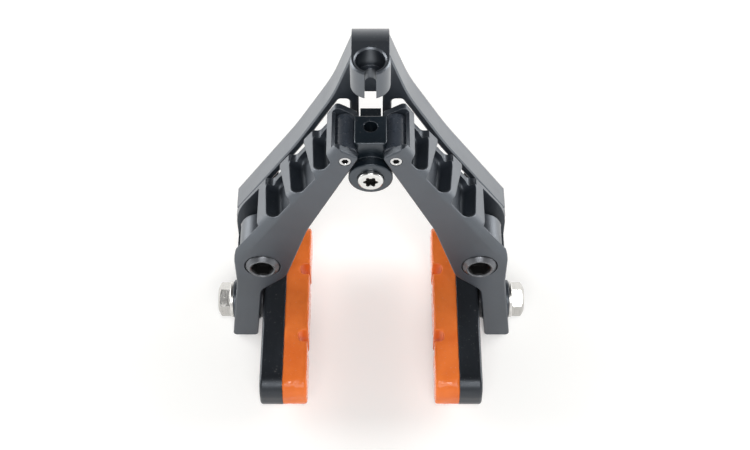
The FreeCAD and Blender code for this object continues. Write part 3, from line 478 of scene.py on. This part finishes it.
def shaded(colour: Colour, share: float) -> Colour:
    """Makes a colour darker or lighter.

    Args:
        colour: The colour.
        share: What it is multiplied by.

    Returns:
        The new colour.
    """
    return tuple(share * part for part in colour)


@dataclass(frozen=True)
class AnodisedFinish:
    """Dyed, anodised aluminium with a blasted grain, and lightly rubbed edges lightened further as
    painted highlights.
    """

    name: str
    colour: Colour
    roughness: float
    ior: float = 1.8
    tint: Colour = (0.84, 0.91, 1.0)
    light_share: float = 1.25
    dark_share: float = 0.8
    cloud_size: float = 9 * MM
    grain_size: float = 0.09 * MM
    grain_depth: float = 0.006 * MM
    grain_strength: float = 0.5
    # Edges are mixed towards this pale colour: partly wear, partly painted highlight.
    edge_wear_and_highlight_colour: Colour = (0.3, 0.32, 0.35)
    edge_width: float = 0.2 * MM
    edge_share: float = 0.5
    edge_metallic: float = 0.8
    edge_polish: float = 0.08
    break_size: float = 1.3 * MM
    smear_size: float = 5 * MM
    smear_roughness: float = 0.05
    clean_polish: float = 0.02
    dust_colour: Colour = (0.45, 0.43, 0.4)
    dust_share: float = 0.12

    def material(self) -> Material:
        """Builds the material.

        Returns:
            The material.
        """
        material, graph, shader = new_material(self.name)
        grain = graph.place(blast_grain(), Grain_Size=self.grain_size, Cloud_Size=self.cloud_size)
        edge = graph.place(edge_rub_and_highlight(), Width=self.edge_width, Break_Size=self.break_size)
        marks = graph.place(handling(), Smear_Size=self.smear_size)

        light = shaded(self.colour, self.light_share)
        dark = shaded(self.colour, self.dark_share)
        tone = graph.mix(grain["Tone"], dark, light)
        dust = graph.math("MULTIPLY", marks["Dust"], self.dust_share)
        dusty = graph.mix(dust, tone, self.dust_colour)
        # Edge wear and painted highlight: sharp edges are lightened.
        rub_and_highlight = graph.math("MULTIPLY", edge["Mask"], self.edge_share)
        graph.link(graph.mix(rub_and_highlight, dusty, self.edge_wear_and_highlight_colour), shader.inputs["Base Color"])
        graph.link(graph.math("MULTIPLY", rub_and_highlight, self.edge_metallic), shader.inputs["Metallic"])

        clean = self.roughness - self.clean_polish
        smeared = graph.math("MULTIPLY_ADD", marks["Smear"], self.smear_roughness, clean)
        worn = graph.math("MULTIPLY_ADD", edge["Mask"], -self.edge_polish, smeared)
        graph.link(worn, shader.inputs["Roughness"])
        shader.inputs["IOR"].default_value = self.ior
        shader.inputs["Specular Tint"].default_value = (*self.tint, 1)
        graph.bump(shader, grain["Height"], edge["Normal"], self.grain_strength, self.grain_depth)
        return material


@dataclass(frozen=True)
class MetalFinish:
    """Bare, plated or blacked steel with the lines that turning or brushing left, painted shade in
    its drive socket, and rubbed edges lightened as painted highlights.

    The centre is that of the right-hand piece. It serves the left one too, because X is folded.
    """

    name: str
    colour: Colour
    roughness: float
    metallic: float = 1.0
    lay: Lay = Lay.TURNED
    axis: Axis = Axis.ALONG_Y
    centre: Point = (0.0, 0.0, 0.0)
    dark_share: float = 0.82
    line_pitch: float = 0.09 * MM
    line_depth: float = 0.004 * MM
    line_strength: float = 0.6
    line_roughness: float = 0.05
    # Edges are mixed towards this pale colour: partly wear, partly painted highlight.
    edge_wear_and_highlight_colour: Colour = (0.75, 0.75, 0.76)
    edge_share: float = 0.35
    edge_width: float = 0.1 * MM
    break_size: float = 0.8 * MM
    smear_size: float = 3 * MM
    smear_roughness: float = 0.1
    socket_radius: float = 0.0
    socket_depth: float = 0.8 * MM
    # The socket below the screw's face is darkened to this colour as painted shade.
    socket_shade_colour: Colour = (0.01, 0.0095, 0.009)
    socket_shade_share: float = 0.93
    socket_roughness: float = 0.4

    def material(self) -> Material:
        """Builds the material.

        Returns:
            The material.
        """
        material, graph, shader = new_material(self.name)
        where = graph.here()
        _, y, z = graph.split(where)
        own = graph.add("ShaderNodeMapping", vector_type="TEXTURE")
        folded = graph.combine(graph.split(graph.vector("ABSOLUTE", where))[0], y, z)
        graph.link(folded, own.inputs["Vector"])
        own.inputs["Location"].default_value = self.centre
        own.inputs["Rotation"].default_value = self.axis.value
        point = own.outputs[0]
        lines = graph.place(tool_lines(), Vector=point, Pitch=self.line_pitch, Along=self.lay.value)
        edge = graph.place(edge_rub_and_highlight(), Width=self.edge_width, Break_Size=self.break_size)
        marks = graph.place(handling(), Smear_Size=self.smear_size)
        socket = graph.place(
            socket_painted_shade(), Vector=point, Radius=self.socket_radius, Depth=self.socket_depth
        )

        tone = graph.mix(lines["Tone"], shaded(self.colour, self.dark_share), self.colour)
        # Edge wear and painted highlight: sharp edges are lightened.
        rub_and_highlight = graph.math("MULTIPLY", edge["Mask"], self.edge_share)
        edge_marked = graph.mix(rub_and_highlight, tone, self.edge_wear_and_highlight_colour)
        # Painted shade: the drive socket is darkened to near black below the screw's face.
        painted_shade = graph.math("MULTIPLY", socket["Mask"], self.socket_shade_share)
        graph.link(graph.mix(painted_shade, edge_marked, self.socket_shade_colour), shader.inputs["Base Color"])

        smeared = graph.math("MULTIPLY_ADD", marks["Smear"], self.smear_roughness, self.roughness)
        lined = graph.math("MULTIPLY_ADD", lines["Tone"], self.line_roughness, smeared)
        rough = graph.math("MULTIPLY_ADD", socket["Mask"], self.socket_roughness, lined)
        graph.link(rough, shader.inputs["Roughness"])
        shader.inputs["Metallic"].default_value = self.metallic
        graph.bump(shader, lines["Height"], edge["Normal"], self.line_strength, self.line_depth)
        return material


@dataclass(frozen=True)
class MouldedFinish:
    """Moulded polymer or rubber, a little uneven, with dust and pale rubbed edges."""

    name: str
    colour: Colour
    roughness: float
    pale_colour: Colour
    deep_colour: Colour
    ior: float = 1.5
    cloud_size: float = 7 * MM
    grain_size: float = 0.35 * MM
    grain_depth: float = 0.02 * MM
    grain_strength: float = 0.5
    edge_width: float = 0.25 * MM
    edge_share: float = 0.3
    break_size: float = 1.6 * MM
    smear_size: float = 4 * MM
    smear_roughness: float = 0.12
    dust_colour: Colour = (0.5, 0.46, 0.42)
    dust_share: float = 0.15

    def material(self) -> Material:
        """Builds the material.

        Returns:
            The material.
        """
        material, graph, shader = new_material(self.name)
        grain = graph.place(blast_grain(), Grain_Size=self.grain_size, Cloud_Size=self.cloud_size)
        edge = graph.place(edge_rub_and_highlight(), Width=self.edge_width, Break_Size=self.break_size)
        marks = graph.place(handling(), Smear_Size=self.smear_size)

        tone = graph.mix(grain["Tone"], self.deep_colour, self.colour)
        pale = graph.math("MULTIPLY", edge["Mask"], self.edge_share)
        edge_marked = graph.mix(pale, tone, self.pale_colour)
        dust = graph.math("MULTIPLY", marks["Dust"], self.dust_share)
        graph.link(graph.mix(dust, edge_marked, self.dust_colour), shader.inputs["Base Color"])

        rough = graph.math("MULTIPLY_ADD", marks["Smear"], self.smear_roughness, self.roughness)
        graph.link(rough, shader.inputs["Roughness"])
        shader.inputs["IOR"].default_value = self.ior
        graph.bump(shader, grain["Height"], edge["Normal"], self.grain_strength, self.grain_depth)
        return material


def dress(node: str, material: Material) -> None:
    """Gives a CAD node its finish.

    Args:
        node: Name of the node.
        material: Its material.
    """
    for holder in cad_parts[node].material_slots:
        holder.material = material
    log.info("dressed %s with %s", node, material.name)


def merged_copy(node: str) -> bmesh.types.BMesh:
    """Copies a CAD node's mesh with its loose triangles joined.

    Args:
        node: Name of the node.

    Returns:
        The joined mesh, which the caller frees.
    """
    mesh = bmesh.new()
    mesh.from_mesh(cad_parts[node].data)
    bmesh.ops.remove_doubles(mesh, verts=mesh.verts, dist=JOIN_DISTANCE)
    log.info("copied %s: %d faces", node, len(mesh.faces))
    return mesh


def new_piece(name: str, mesh: bmesh.types.BMesh, material: Material) -> bpy.types.Object:
    """Turns a built mesh into an object at the origin.

    Args:
        name: Name of the piece.
        mesh: The mesh, which is freed.
        material: Its material.

    Returns:
        The new object.
    """
    data = bpy.data.meshes.new(name)
    mesh.to_mesh(data)
    mesh.free()
    data.materials.append(material)
    piece = bpy.data.objects.new(name, data)
    bpy.context.scene.collection.objects.link(piece)
    return piece


def settle(piece: bpy.types.Object) -> None:
    """Turns a piece's modifiers into plain mesh.

    Args:
        piece: The piece.
    """
    depsgraph = bpy.context.evaluated_depsgraph_get()
    result = bpy.data.meshes.new_from_object(piece.evaluated_get(depsgraph))
    piece.modifiers.clear()
    piece.data = result


def finish_geometry(graph: Graph, geometry: Socket, material: Socket, result: Sockets) -> None:
    """Ends a geometry tree: makes instances real and sets the material.

    Args:
        graph: The tree's graph.
        geometry: Socket of what was built.
        material: Socket of its material.
        result: What the tree puts out.
    """
    real = graph.add("GeometryNodeRealizeInstances")
    graph.link(geometry, real.inputs[0])
    finished = graph.add("GeometryNodeSetMaterial")
    graph.link(real.outputs[0], finished.inputs["Geometry"])
    graph.link(material, finished.inputs["Material"])
    graph.link(finished.outputs[0], result["Geometry"])


def run_tree(piece: bpy.types.Object, tree: Tree, values: dict[str, object]) -> None:
    """Runs a geometry tree on a piece and keeps the result as plain mesh.

    Args:
        piece: The piece.
        tree: The tree.
        values: Its inputs, by name.
    """
    modifier = piece.modifiers.new(tree.name, "NODES")
    modifier.node_group = tree
    for item in tree.interface.items_tree:
        if item.in_out == "INPUT" and item.name in values:
            modifier[item.identifier] = values[item.name]
    settle(piece)


@dataclass
class Yoke:
    """The one-piece frame plate with its housing stop."""

    finish: AnodisedFinish = AnodisedFinish(
        "yoke anodised", colour=(0.008, 0.0105, 0.0145), roughness=0.38, ior=1.92
    )

    def build(self) -> None:
        """Dresses the yoke."""
        dress("yoke_frame", self.finish.material())


@dataclass
class Pivot:
    """What each arm turns on: mounting bolt, bushing, thrust washer and spring."""

    thread_pitch: float = 1.0 * MM
    thread_depth: float = 0.5 * MM
    thread_radius: float = 2.98 * MM
    thread_reach: float = 8.95 * MM
    tip_length: float = 0.7 * MM
    tip_share: float = 0.8
    shank_end: float = 0.02 * MM
    pivot_x: float = 28 * MM
    steps_per_turn: int = 40
    ridge_sides: int = 3
    bolt_finish: MetalFinish = MetalFinish(
        "bolt black oxide",
        colour=(0.12, 0.125, 0.135),
        roughness=0.3,
        metallic=0.9,
        centre=(28 * MM, -24 * MM, 0),
        # A bright ring round the head: edge wear and painted highlight.
        edge_wear_and_highlight_colour=(0.72, 0.73, 0.75),
        edge_share=0.85,
        edge_width=0.17 * MM,
        socket_radius=2.95 * MM,
        socket_depth=0.35 * MM,
    )
    bushing_finish: MetalFinish = MetalFinish(
        "bushing steel", colour=(0.45, 0.44, 0.42), roughness=0.3, centre=(28 * MM, 0, 0)
    )
    washer_finish: MouldedFinish = MouldedFinish(
        "thrust washer polymer",
        colour=(0.03, 0.03, 0.032),
        roughness=0.5,
        pale_colour=(0.09, 0.09, 0.09),
        deep_colour=(0.02, 0.02, 0.022),
    )
    spring_finish: MetalFinish = MetalFinish(
        "spring steel", colour=(0.3, 0.29, 0.28), roughness=0.35, lay=Lay.BRUSHED
    )

    def thread_tree(self) -> Tree:
        """Geometry Nodes for a threaded end: a core, a helical ridge and a bevelled tip.

        Returns:
            The node tree, with named inputs for its sizes and its material.
        """
        sizes = dict.fromkeys(("Pitch", "Depth", "Radius", "Reach", "Tip"), "Float")
        graph, given, result = new_group(
            "bolt_thread",
            {**sizes, "Material": "Material"},
            {"Geometry": "Geometry"},
            TreeKind.GEOMETRY,
        )
        root = graph.math("SUBTRACT", given["Radius"], given["Depth"])
        length = graph.math("SUBTRACT", given["Reach"], given["Tip"])

        helix = graph.add("GeometryNodeCurveSpiral")
        graph.feed(helix.inputs["Resolution"], self.steps_per_turn)
        graph.link(graph.math("DIVIDE", length, given["Pitch"]), helix.inputs["Rotations"])
        graph.link(root, helix.inputs["Start Radius"])
        graph.link(root, helix.inputs["End Radius"])
        graph.link(length, helix.inputs["Height"])
        ridge = graph.add("GeometryNodeCurvePrimitiveCircle")
        graph.feed(ridge.inputs["Resolution"], self.ridge_sides)
        graph.link(given["Depth"], ridge.inputs["Radius"])
        swept = graph.add("GeometryNodeCurveToMesh")
        graph.link(helix.outputs[0], swept.inputs["Curve"])
        graph.link(ridge.outputs[0], swept.inputs["Profile Curve"])

        core = graph.add("GeometryNodeMeshCylinder")
        graph.feed(core.inputs["Vertices"], self.steps_per_turn)
        graph.link(root, core.inputs["Radius"])
        graph.link(length, core.inputs["Depth"])
        lifted = graph.add("GeometryNodeTransform")
        graph.link(core.outputs[0], lifted.inputs["Geometry"])
        middle = graph.math("MULTIPLY", length, 0.5)
        graph.link(graph.combine(z=middle), lifted.inputs["Translation"])

        tip = graph.add("GeometryNodeMeshCone")
        graph.feed(tip.inputs["Vertices"], self.steps_per_turn)
        graph.link(graph.math("MULTIPLY", root, self.tip_share), tip.inputs["Radius Top"])
        graph.link(root, tip.inputs["Radius Bottom"])
        graph.link(given["Tip"], tip.inputs["Depth"])
        raised = graph.add("GeometryNodeTransform")
        graph.link(tip.outputs[0], raised.inputs["Geometry"])
        graph.link(graph.combine(z=length), raised.inputs["Translation"])

        joined = graph.add("GeometryNodeJoinGeometry")
        for piece in (swept, lifted, raised):
            graph.link(piece.outputs[0], joined.inputs[0])
        finish_geometry(graph, joined.outputs[0], given["Material"], result)
        return graph.tree

    def build_bolt(self, side: str, way: int, tree: Tree, material: Material) -> None:
        """Replaces one mounting bolt by a copy whose end is threaded.

        Args:
            side: right or left.
            way: 1 on the right, -1 on the left.
            tree: Node tree of the thread.
            material: Finish of the bolt.
        """
        node = f"mounting_bolt_{side}"
        shank = merged_copy(node)
        cut = bmesh.ops.bisect_plane(
            shank,
            geom=shank.verts[:] + shank.edges[:] + shank.faces[:],
            plane_co=(0, self.shank_end, 0),
            plane_no=(0, 1, 0),
            clear_outer=True,
        )
        rim = [item for item in cut["geom_cut"] if isinstance(item, bmesh.types.BMEdge)]
        bmesh.ops.contextual_create(shank, geom=rim)
        piece = new_piece(f"bolt_shank_{side}", shank, material)

        thread = new_piece(f"bolt_thread_{side}", bmesh.new(), material)
        sizes = {
            "Pitch": self.thread_pitch,
            "Depth": self.thread_depth,
            "Radius": self.thread_radius,
            "Reach": self.thread_reach,
            "Tip": self.tip_length,
        }
        run_tree(thread, tree, {**sizes, "Material": material})
        turn = Matrix.Rotation(-math.pi / 2, 4, "X")
        thread.data.transform(Matrix.Translation((way * self.pivot_x, 0, 0)) @ turn)
        for item in (piece, thread):
            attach(item, "frame")
        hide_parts(node)
        log.info("threaded %s", node)

    def build(self) -> None:
        """Builds both pivots."""
        bolt = self.bolt_finish.material()
        bushing = self.bushing_finish.material()
        washer = self.washer_finish.material()
        spring = self.spring_finish.material()
        tree = self.thread_tree()
        for side, way in zip(SIDES, (1, -1)):
            self.build_bolt(side, way, tree, bolt)
            dress(f"pivot_bushing_{side}", bushing)
            dress(f"thrust_washer_{side}", washer)
            dress(f"return_spring_{side}", spring)


@dataclass
class Arms:
    """Both windowed arms with their rollers and roller pins."""

    arm_finish: AnodisedFinish = AnodisedFinish(
        "arm anodised", colour=(0.012, 0.0155, 0.021), roughness=0.42, ior=1.8
    )
    roller_finish: MouldedFinish = MouldedFinish(
        "roller polymer",
        colour=(0.038, 0.046, 0.06),
        roughness=0.26,
        pale_colour=(0.12, 0.13, 0.15),
        deep_colour=(0.026, 0.032, 0.042),
    )
    pin_finish: MetalFinish = MetalFinish(
        "roller pin polished",
        colour=(0.55, 0.55, 0.55),
        roughness=0.16,
        centre=(6 * MM, -22.85 * MM, 42.5 * MM),
        socket_radius=0.9 * MM,
        socket_depth=0.3 * MM,
    )

    def build(self) -> None:
        """Dresses the arms, rollers and pins."""
        arm = self.arm_finish.material()
        roller = self.roller_finish.material()
        pin = self.pin_finish.material()
        for side in SIDES:
            dress(f"arm_{side}", arm)
            dress(f"roller_{side}", roller)
            dress(f"roller_pin_{side}", pin)


@dataclass
class PadShoes:
    """The rubber pads with their holders, set screws, bolts and washers."""

    voxel: float = 0.32 * MM
    wave_height: float = 0.11 * MM
    wave_size: float = 2.2 * MM
    wave_noise: Range = (0.35, 0.65)
    pad_finish: MouldedFinish = MouldedFinish(
        "pad rubber",
        colour=(0.8, 0.19, 0.038),
        roughness=0.16,
        pale_colour=(0.86, 0.3, 0.1),
        deep_colour=(0.7, 0.145, 0.026),
        ior=1.28,
        edge_share=0.1,
    )
    holder_finish: AnodisedFinish = AnodisedFinish(
        "holder anodised", colour=(0.009, 0.0105, 0.013), roughness=0.36, ior=1.5
    )
    bolt_finish: MetalFinish = MetalFinish(
        "pad bolt polished",
        colour=(0.5, 0.49, 0.47),
        roughness=0.15,
        axis=Axis.ALONG_X,
        centre=(41.45 * MM, -17.4 * MM, -23.5 * MM),
        socket_radius=2.4 * MM,
    )
    dished_finish: MetalFinish = MetalFinish(
        "dished washer black",
        colour=(0.03, 0.031, 0.034),
        roughness=0.35,
        metallic=0.7,
        axis=Axis.ALONG_X,
        centre=(0, -17.4 * MM, -23.5 * MM),
        edge_wear_and_highlight_colour=(0.3, 0.3, 0.31),
    )
    washer_finish: MetalFinish = MetalFinish(
        "washer steel",
        colour=(0.6, 0.59, 0.57),
        roughness=0.26,
        axis=Axis.ALONG_X,
        centre=(0, -17.4 * MM, -23.5 * MM),
    )
    screw_finish: MetalFinish = MetalFinish(
        "set screw black", colour=(0.03, 0.03, 0.032), roughness=0.3, axis=Axis.ALONG_X
    )

    def uneven_tree(self) -> Tree:
        """Geometry Nodes that sink a surface unevenly along its normals.

        Returns:
            The node tree, with Geometry, Height, Size and Material as its inputs.
        """
        graph, given, result = new_group(
            "uneven_skin",
            {"Geometry": "Geometry", "Height": "Float", "Size": "Float", "Material": "Material"},
            {"Geometry": "Geometry"},
            TreeKind.GEOMETRY,
        )
        where = graph.add("GeometryNodeInputPosition").outputs[0]
        wave = graph.noise(given["Size"], where, detail=3)
        sink = graph.math("MULTIPLY", graph.spread(wave, self.wave_noise, (0, -1)), given["Height"])
        shift = graph.add("ShaderNodeVectorMath", operation="SCALE")
        graph.link(graph.add("GeometryNodeInputNormal").outputs[0], shift.inputs[0])
        graph.link(sink, shift.inputs["Scale"])
        moved = graph.add("GeometryNodeSetPosition")
        graph.link(given["Geometry"], moved.inputs["Geometry"])
        graph.link(shift.outputs["Vector"], moved.inputs["Offset"])
        finish_geometry(graph, moved.outputs[0], given["Material"], result)
        return graph.tree

    def build_pad(self, side: str, tree: Tree, material: Material) -> None:
        """Replaces a pad by a moulded one with soft, slightly uneven edges.

        Args:
            side: right or left.
            tree: Node tree of the uneven skin.
            material: Finish of the rubber.
        """
        node = f"brake_pad_{side}"
        pad = new_piece(f"moulded_pad_{side}", merged_copy(node), material)
        remesh = pad.modifiers.new("skin", "REMESH")
        remesh.mode = "VOXEL"
        remesh.voxel_size = self.voxel
        settle(pad)
        values = {"Height": self.wave_height, "Size": self.wave_size, "Material": material}
        run_tree(pad, tree, values)
        pad.data.shade_smooth()
        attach(pad, f"arm_{side}")
        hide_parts(node)
        log.info("moulded %s: %d faces", node, len(pad.data.polygons))

    def build(self) -> None:
        """Builds and dresses both pad assemblies."""
        rubber = self.pad_finish.material()
        holder = self.holder_finish.material()
        bolt = self.bolt_finish.material()
        washer = self.washer_finish.material()
        dished = self.dished_finish.material()
        screw = self.screw_finish.material()
        tree = self.uneven_tree()
        for side in SIDES:
            self.build_pad(side, tree, rubber)
            dress(f"pad_holder_{side}", holder)
            dress(f"pad_bolt_{side}", bolt)
            dress(f"dished_washer_{side}", dished)
            dress(f"outer_washer_{side}", washer)
            dress(f"pad_screw_{side}", screw)


@dataclass
class Carriage:
    """The cam block on the cable with its clamp bolt and clamp plate."""

    block_finish: AnodisedFinish = AnodisedFinish(
        "carriage anodised", colour=(0.006, 0.01, 0.014), roughness=0.3, ior=1.6
    )
    bolt_finish: MetalFinish = MetalFinish(
        "clamp bolt polished",
        colour=(0.6, 0.6, 0.59),
        roughness=0.13,
        centre=(0, -24 * MM, 36.2 * MM),
        socket_radius=1.85 * MM,
        socket_depth=0.5 * MM,
    )
    plate_finish: MetalFinish = MetalFinish(
        "clamp plate steel", colour=(0.6, 0.59, 0.57), roughness=0.28, centre=(0, 0, 36.2 * MM)
    )

    def build(self) -> None:
        """Dresses the carriage."""
        dress("cam_carriage", self.block_finish.material())
        dress("cable_clamp_bolt", self.bolt_finish.material())
        dress("cable_clamp_plate", self.plate_finish.material())


@dataclass(frozen=True)
class Softbox:
    """A rectangular soft lamp that faces the object."""

    name: str
    place: Point
    width: float
    height: float
    power: float

    def build(self, target: Vector) -> None:
        """Hangs the lamp.

        Args:
            target: Point that it faces.
        """
        lamp = bpy.data.lights.new(self.name, "AREA")
        lamp.shape = "RECTANGLE"
        lamp.size = self.width
        lamp.size_y = self.height
        lamp.energy = self.power
        holder = bpy.data.objects.new(self.name, lamp)
        holder.location = self.place
        facing = (target - Vector(self.place)).to_track_quat("-Z", "Y")
        holder.rotation_euler = facing.to_euler()
        bpy.context.scene.collection.objects.link(holder)


@dataclass
class Studio:
    """Pale floor, bright surroundings, soft lamps and the camera.

    A lift is what the floor adds for the camera and a glow what it adds in reflections. Both grow
    with the distance from the middle of the floor, over a reach in metres. The weaker glow near the
    object is painted shade in the floor's reflections.
    """

    floor_z: float = -33.3 * MM
    floor_half: float = 3.0
    floor_paint: Colour = (0.79, 0.784, 0.765)
    lift_near: float = 0.27
    lift_far: float = 1.0
    lift_reach: Range = (0.15, 0.5)
    glow_near: float = 0.42
    glow_far: float = 0.9
    glow_reach: Range = (0.05, 0.12)
    horizon: float = 1.5
    zenith: float = 0.06
    sky_heights: Range = (0.1, 0.75)
    camera_place: Point = (0.001037, -0.236491, 0.304340)
    camera_tilt: float = 36.7
    camera_clip: float = 0.01
    lens: float = 69.12
    sensor_width: float = 36.0
    softboxes: tuple[Softbox, ...] = (
        Softbox("front softbox", (0.0, -0.75, 0.75), width=0.6, height=0.35, power=4.2),
        Softbox("key lamp", (0.05, -0.45, 0.8), width=0.09, height=0.09, power=1.4),
        Softbox("right softbox", (0.55, 0.15, 0.16), width=0.45, height=0.3, power=2.8),
        Softbox("left softbox", (-0.55, 0.15, 0.16), width=0.45, height=0.3, power=2.8),
    )

    def floor(self) -> None:
        """Lays the floor, which takes shadows and is brighter further away, with painted shade near
        the object in reflections.
        """
        mesh = bmesh.new()
        half = self.floor_half
        corners = ((-half, -half), (half, -half), (half, half), (-half, half))
        mesh.faces.new([mesh.verts.new((x, y, self.floor_z)) for x, y in corners])
        material = bpy.data.materials.new("studio floor")
        material.use_nodes = True
        material.node_tree.nodes.clear()
        graph = Graph(material.node_tree)
        paint = graph.add("ShaderNodeBsdfDiffuse")
        paint.inputs["Color"].default_value = (*self.floor_paint, 1)
        away = graph.radius(graph.here())
        ray = graph.add("ShaderNodeLightPath").outputs
        seen = graph.math("MAXIMUM", ray["Is Camera Ray"], ray["Is Transmission Ray"])
        lift = graph.spread(away, self.lift_reach, (self.lift_near, self.lift_far))
        # Painted shade: reflections see the floor glow less near the object.
        glow = graph.spread(away, self.glow_reach, (self.glow_near, self.glow_far))
        shown = graph.math("MULTIPLY", seen, lift)
        mirrored = graph.math("MULTIPLY", glow, ray["Is Glossy Ray"])
        light = graph.add("ShaderNodeEmission")
        graph.link(graph.math("ADD", shown, mirrored), light.inputs["Strength"])
        both = graph.add("ShaderNodeAddShader")
        graph.link(paint.outputs[0], both.inputs[0])
        graph.link(light.outputs[0], both.inputs[1])
        graph.link(both.outputs[0], graph.add("ShaderNodeOutputMaterial").inputs["Surface"])
        new_piece("studio_floor", mesh, material)

    def surroundings(self) -> None:
        """Sets the world: white to the camera, and bright low down to the object."""
        world = bpy.data.worlds.new("studio")
        bpy.context.scene.world = world
        world.use_nodes = True
        world.node_tree.nodes.clear()
        graph = Graph(world.node_tree)
        height = graph.split(graph.add("ShaderNodeTexCoord").outputs["Generated"])[2]
        level = graph.spread(height, self.sky_heights, (self.horizon, self.zenith))
        ray = graph.add("ShaderNodeLightPath").outputs
        background = graph.add("ShaderNodeBackground")
        seen = graph.math("MAXIMUM", ray["Is Camera Ray"], level)
        graph.link(seen, background.inputs["Strength"])
        graph.link(background.outputs[0], graph.add("ShaderNodeOutputWorld").inputs["Surface"])

    def camera(self) -> None:
        """Sets the camera to the photo's place and angle."""
        data = bpy.data.cameras.new("camera")
        data.lens = self.lens
        data.sensor_width = self.sensor_width
        data.clip_start = self.camera_clip
        holder = bpy.data.objects.new("camera", data)
        holder.location = self.camera_place
        holder.rotation_euler = (math.radians(self.camera_tilt), 0, 0)
        bpy.context.scene.collection.objects.link(holder)
        bpy.context.scene.camera = holder

    def build(self) -> None:
        """Builds the whole studio."""
        self.floor()
        self.surroundings()
        middle = (CAD_BOX[0] + CAD_BOX[1]) / 2
        for softbox in self.softboxes:
            softbox.build(middle)
        self.camera()
        bpy.context.scene.view_settings.view_transform = "Standard"
        log.info("studio built")


def main() -> None:
    """Builds the brake's looks and its studio."""
    logging.basicConfig(level=logging.INFO)
    for assembly in (Yoke(), Pivot(), Arms(), PadShoes(), Carriage(), Studio()):
        assembly.build()
        log.info("finished %s", type(assembly).__name__)


if __name__ == "__main__":
    main()
